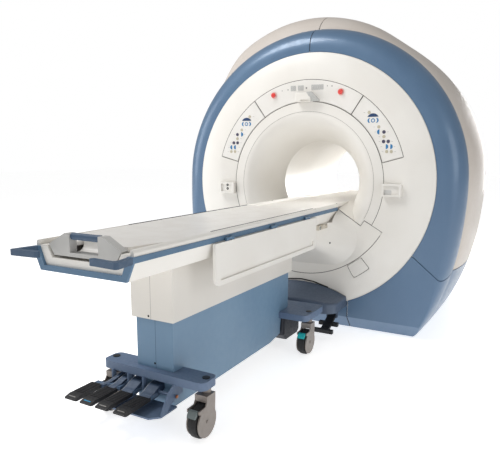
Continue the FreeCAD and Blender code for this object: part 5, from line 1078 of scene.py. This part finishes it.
def build_pedal_arms():
    """Deep blue arms from the pads up to the shaft, their blue darkened as painted shade, each
    with a light left edge that is a painted highlight.
    """
    for letter, _, near, far, wide in PEDALS:

        def middle(y):
            return near + (far - near) * min(1.0, (y - ARM_LINE[0][0]) / ARM_CRANK)

        form = prism_between([[(middle(y) + edge * wide / 2, y, z) for y, z in ARM_LINE]
                              for edge in (-1, 1)])
        bmesh.ops.bevel(form, geom=form.edges[:], offset=0.0018, segments=2, affect="EDGES",
                        profile=0.5)
        held("pedal_arm_" + letter, mesh_of("arm", form), pedal_arm_shaded_blue, "pedal_" + letter,
             "pedal_black")
        rim = [Vector((middle(y) - wide / 2 + 0.0024, y, z + 0.0004)) for y, z in ARM_LINE[1:5]]
        strip("pedal_arm_edge_" + letter, rim, *ARM_HIGHLIGHT_HALVES, arm_highlight_grey, "pedal_" + letter,
              "pedal_black")


BOLT = [(0, -0.001), (0.0085, -0.001), (0.0085, 0.0050), (0.0070, 0.0065), (0, 0.0065)]
BOLT_PLACE = (0.1462, -2.657, 0.174)


def build_shaft_bolt():
    """The hexagonal brass head at the right end of the pedal shaft."""
    bolt = turned_to(lathe(BOLT, 6), (1, 0, 0), BOLT_PLACE)
    held("shaft_bolt", mesh_of("bolt", bolt), brass, "table_base", "column_blue", False)


for build in (build_control_keys, build_readouts, build_alignment_window, build_stops,
              build_shade_over_dock, build_shade_beside_cradle, build_fascia_seam_shade, build_flap_seam_shade,
              build_shade_in_rim_seams, build_screws, build_finger_cup, build_ports, build_socket_rings,
              build_casters, build_pedal_ribs, build_pedal_arms, build_shaft_bolt):
    build()


# Studio

# Lamps: name, place, aim, size, power and spread in degrees
LAMP_STANDS = (
    ("key", (6.5, -3.4, 2.6), (0.2, -1.4, 0.7), 3.0, 62, 180),
    ("fill", (-6.5, -3.6, 2.4), (-0.3, -0.6, 1.1), 3.0, 80, 180),
    ("front", (-2.4, -3.4, 5.6), (0.0, -1.1, 1.0), 2.4, 185, 180),
    ("back", (0.9, 4.2, 1.6), (-0.1, 0.0, 1.05), 1.8, 55, 180),
    ("tunnel", (0.5, 4.2, 1.35), (-0.1, 0.0, 1.0), 0.8, 14, 36),
)
FLOOR_HALF = 30
WORLD_LIGHT = 0.32
FLOOR_LIGHT = 0.70


def build_floor():
    """A plain pale floor that gives a little light of its own."""
    form = bmesh.new()
    corners = box_outline(2 * FLOOR_HALF, 2 * FLOOR_HALF)
    form.faces.new([form.verts.new((x, y, -0.0005)) for x, y in corners])
    floor = bpy.data.objects.new("floor", mesh_of("floor", form))
    bpy.context.scene.collection.objects.link(floor)
    pale = Finish("pale_floor", (243.3, 243.3, 243.3)).drift((240.9, 240.9, 240.9), 0.6, 0.5)
    pale.roughness(0.7, 0.8, 10)
    pale.shader.inputs["Emission Color"].default_value = (1, 1, 1, 1)
    pale.shader.inputs["Emission Strength"].default_value = FLOOR_LIGHT
    floor.data.materials.append(pale.done())


def build_studio():
    """A white backdrop, soft even light from all round, and the lamps."""
    world = bpy.data.worlds.new("studio")
    bpy.context.scene.world = world
    world.use_nodes = True
    tree = world.node_tree
    tree.nodes.clear()
    plain, sweep = [
        placed(tree, "ShaderNodeBackground", {"Color": (1, 1, 1, 1), "Strength": strength})
        .outputs["Background"] for strength in (WORLD_LIGHT, 1.0)]
    seen = placed(tree, "ShaderNodeLightPath").outputs["Is Camera Ray"]
    mix = placed(tree, "ShaderNodeMixShader", {"Fac": seen, 1: plain, 2: sweep})
    placed(tree, "ShaderNodeOutputWorld", {"Surface": mix.outputs["Shader"]})
    bpy.context.scene.view_settings.view_transform = "Standard"
    for name, place, aim, size, power, spread in LAMP_STANDS:
        light = bpy.data.lights.new(name, "AREA")
        light.shape = "SQUARE"
        light.size = size
        light.energy = power
        light.spread = math.radians(spread)
        lamp = bpy.data.objects.new(name, light)
        bpy.context.scene.collection.objects.link(lamp)
        lamp.location = place
        lamp.rotation_mode = "QUATERNION"
        lamp.rotation_quaternion = (Vector(aim) - Vector(place)).to_track_quat("-Z", "Y")


def build_camera():
    """The photograph's angle: where the camera stands and how it is turned."""
    data = bpy.data.cameras.new("camera")
    camera = bpy.data.objects.new("camera", data)
    bpy.context.scene.collection.objects.link(camera)
    right = Vector((0.86642, 0.499312, 0.002014))
    above = Vector((-0.093654, 0.158546, 0.9829))
    ahead = Vector((-0.490455, 0.851793, -0.18413))
    place = Matrix((right, above, -ahead)).transposed().to_4x4()
    place.translation = Vector((1.51680, -4.48978, 1.25331))
    camera.matrix_world = place
    data.sensor_width = 36
    data.lens = 38.746
    data.shift_x = 0.0258
    data.shift_y = 0.0588
    data.clip_end = 100
    bpy.context.scene.camera = camera


build_floor()
build_studio()
build_camera()
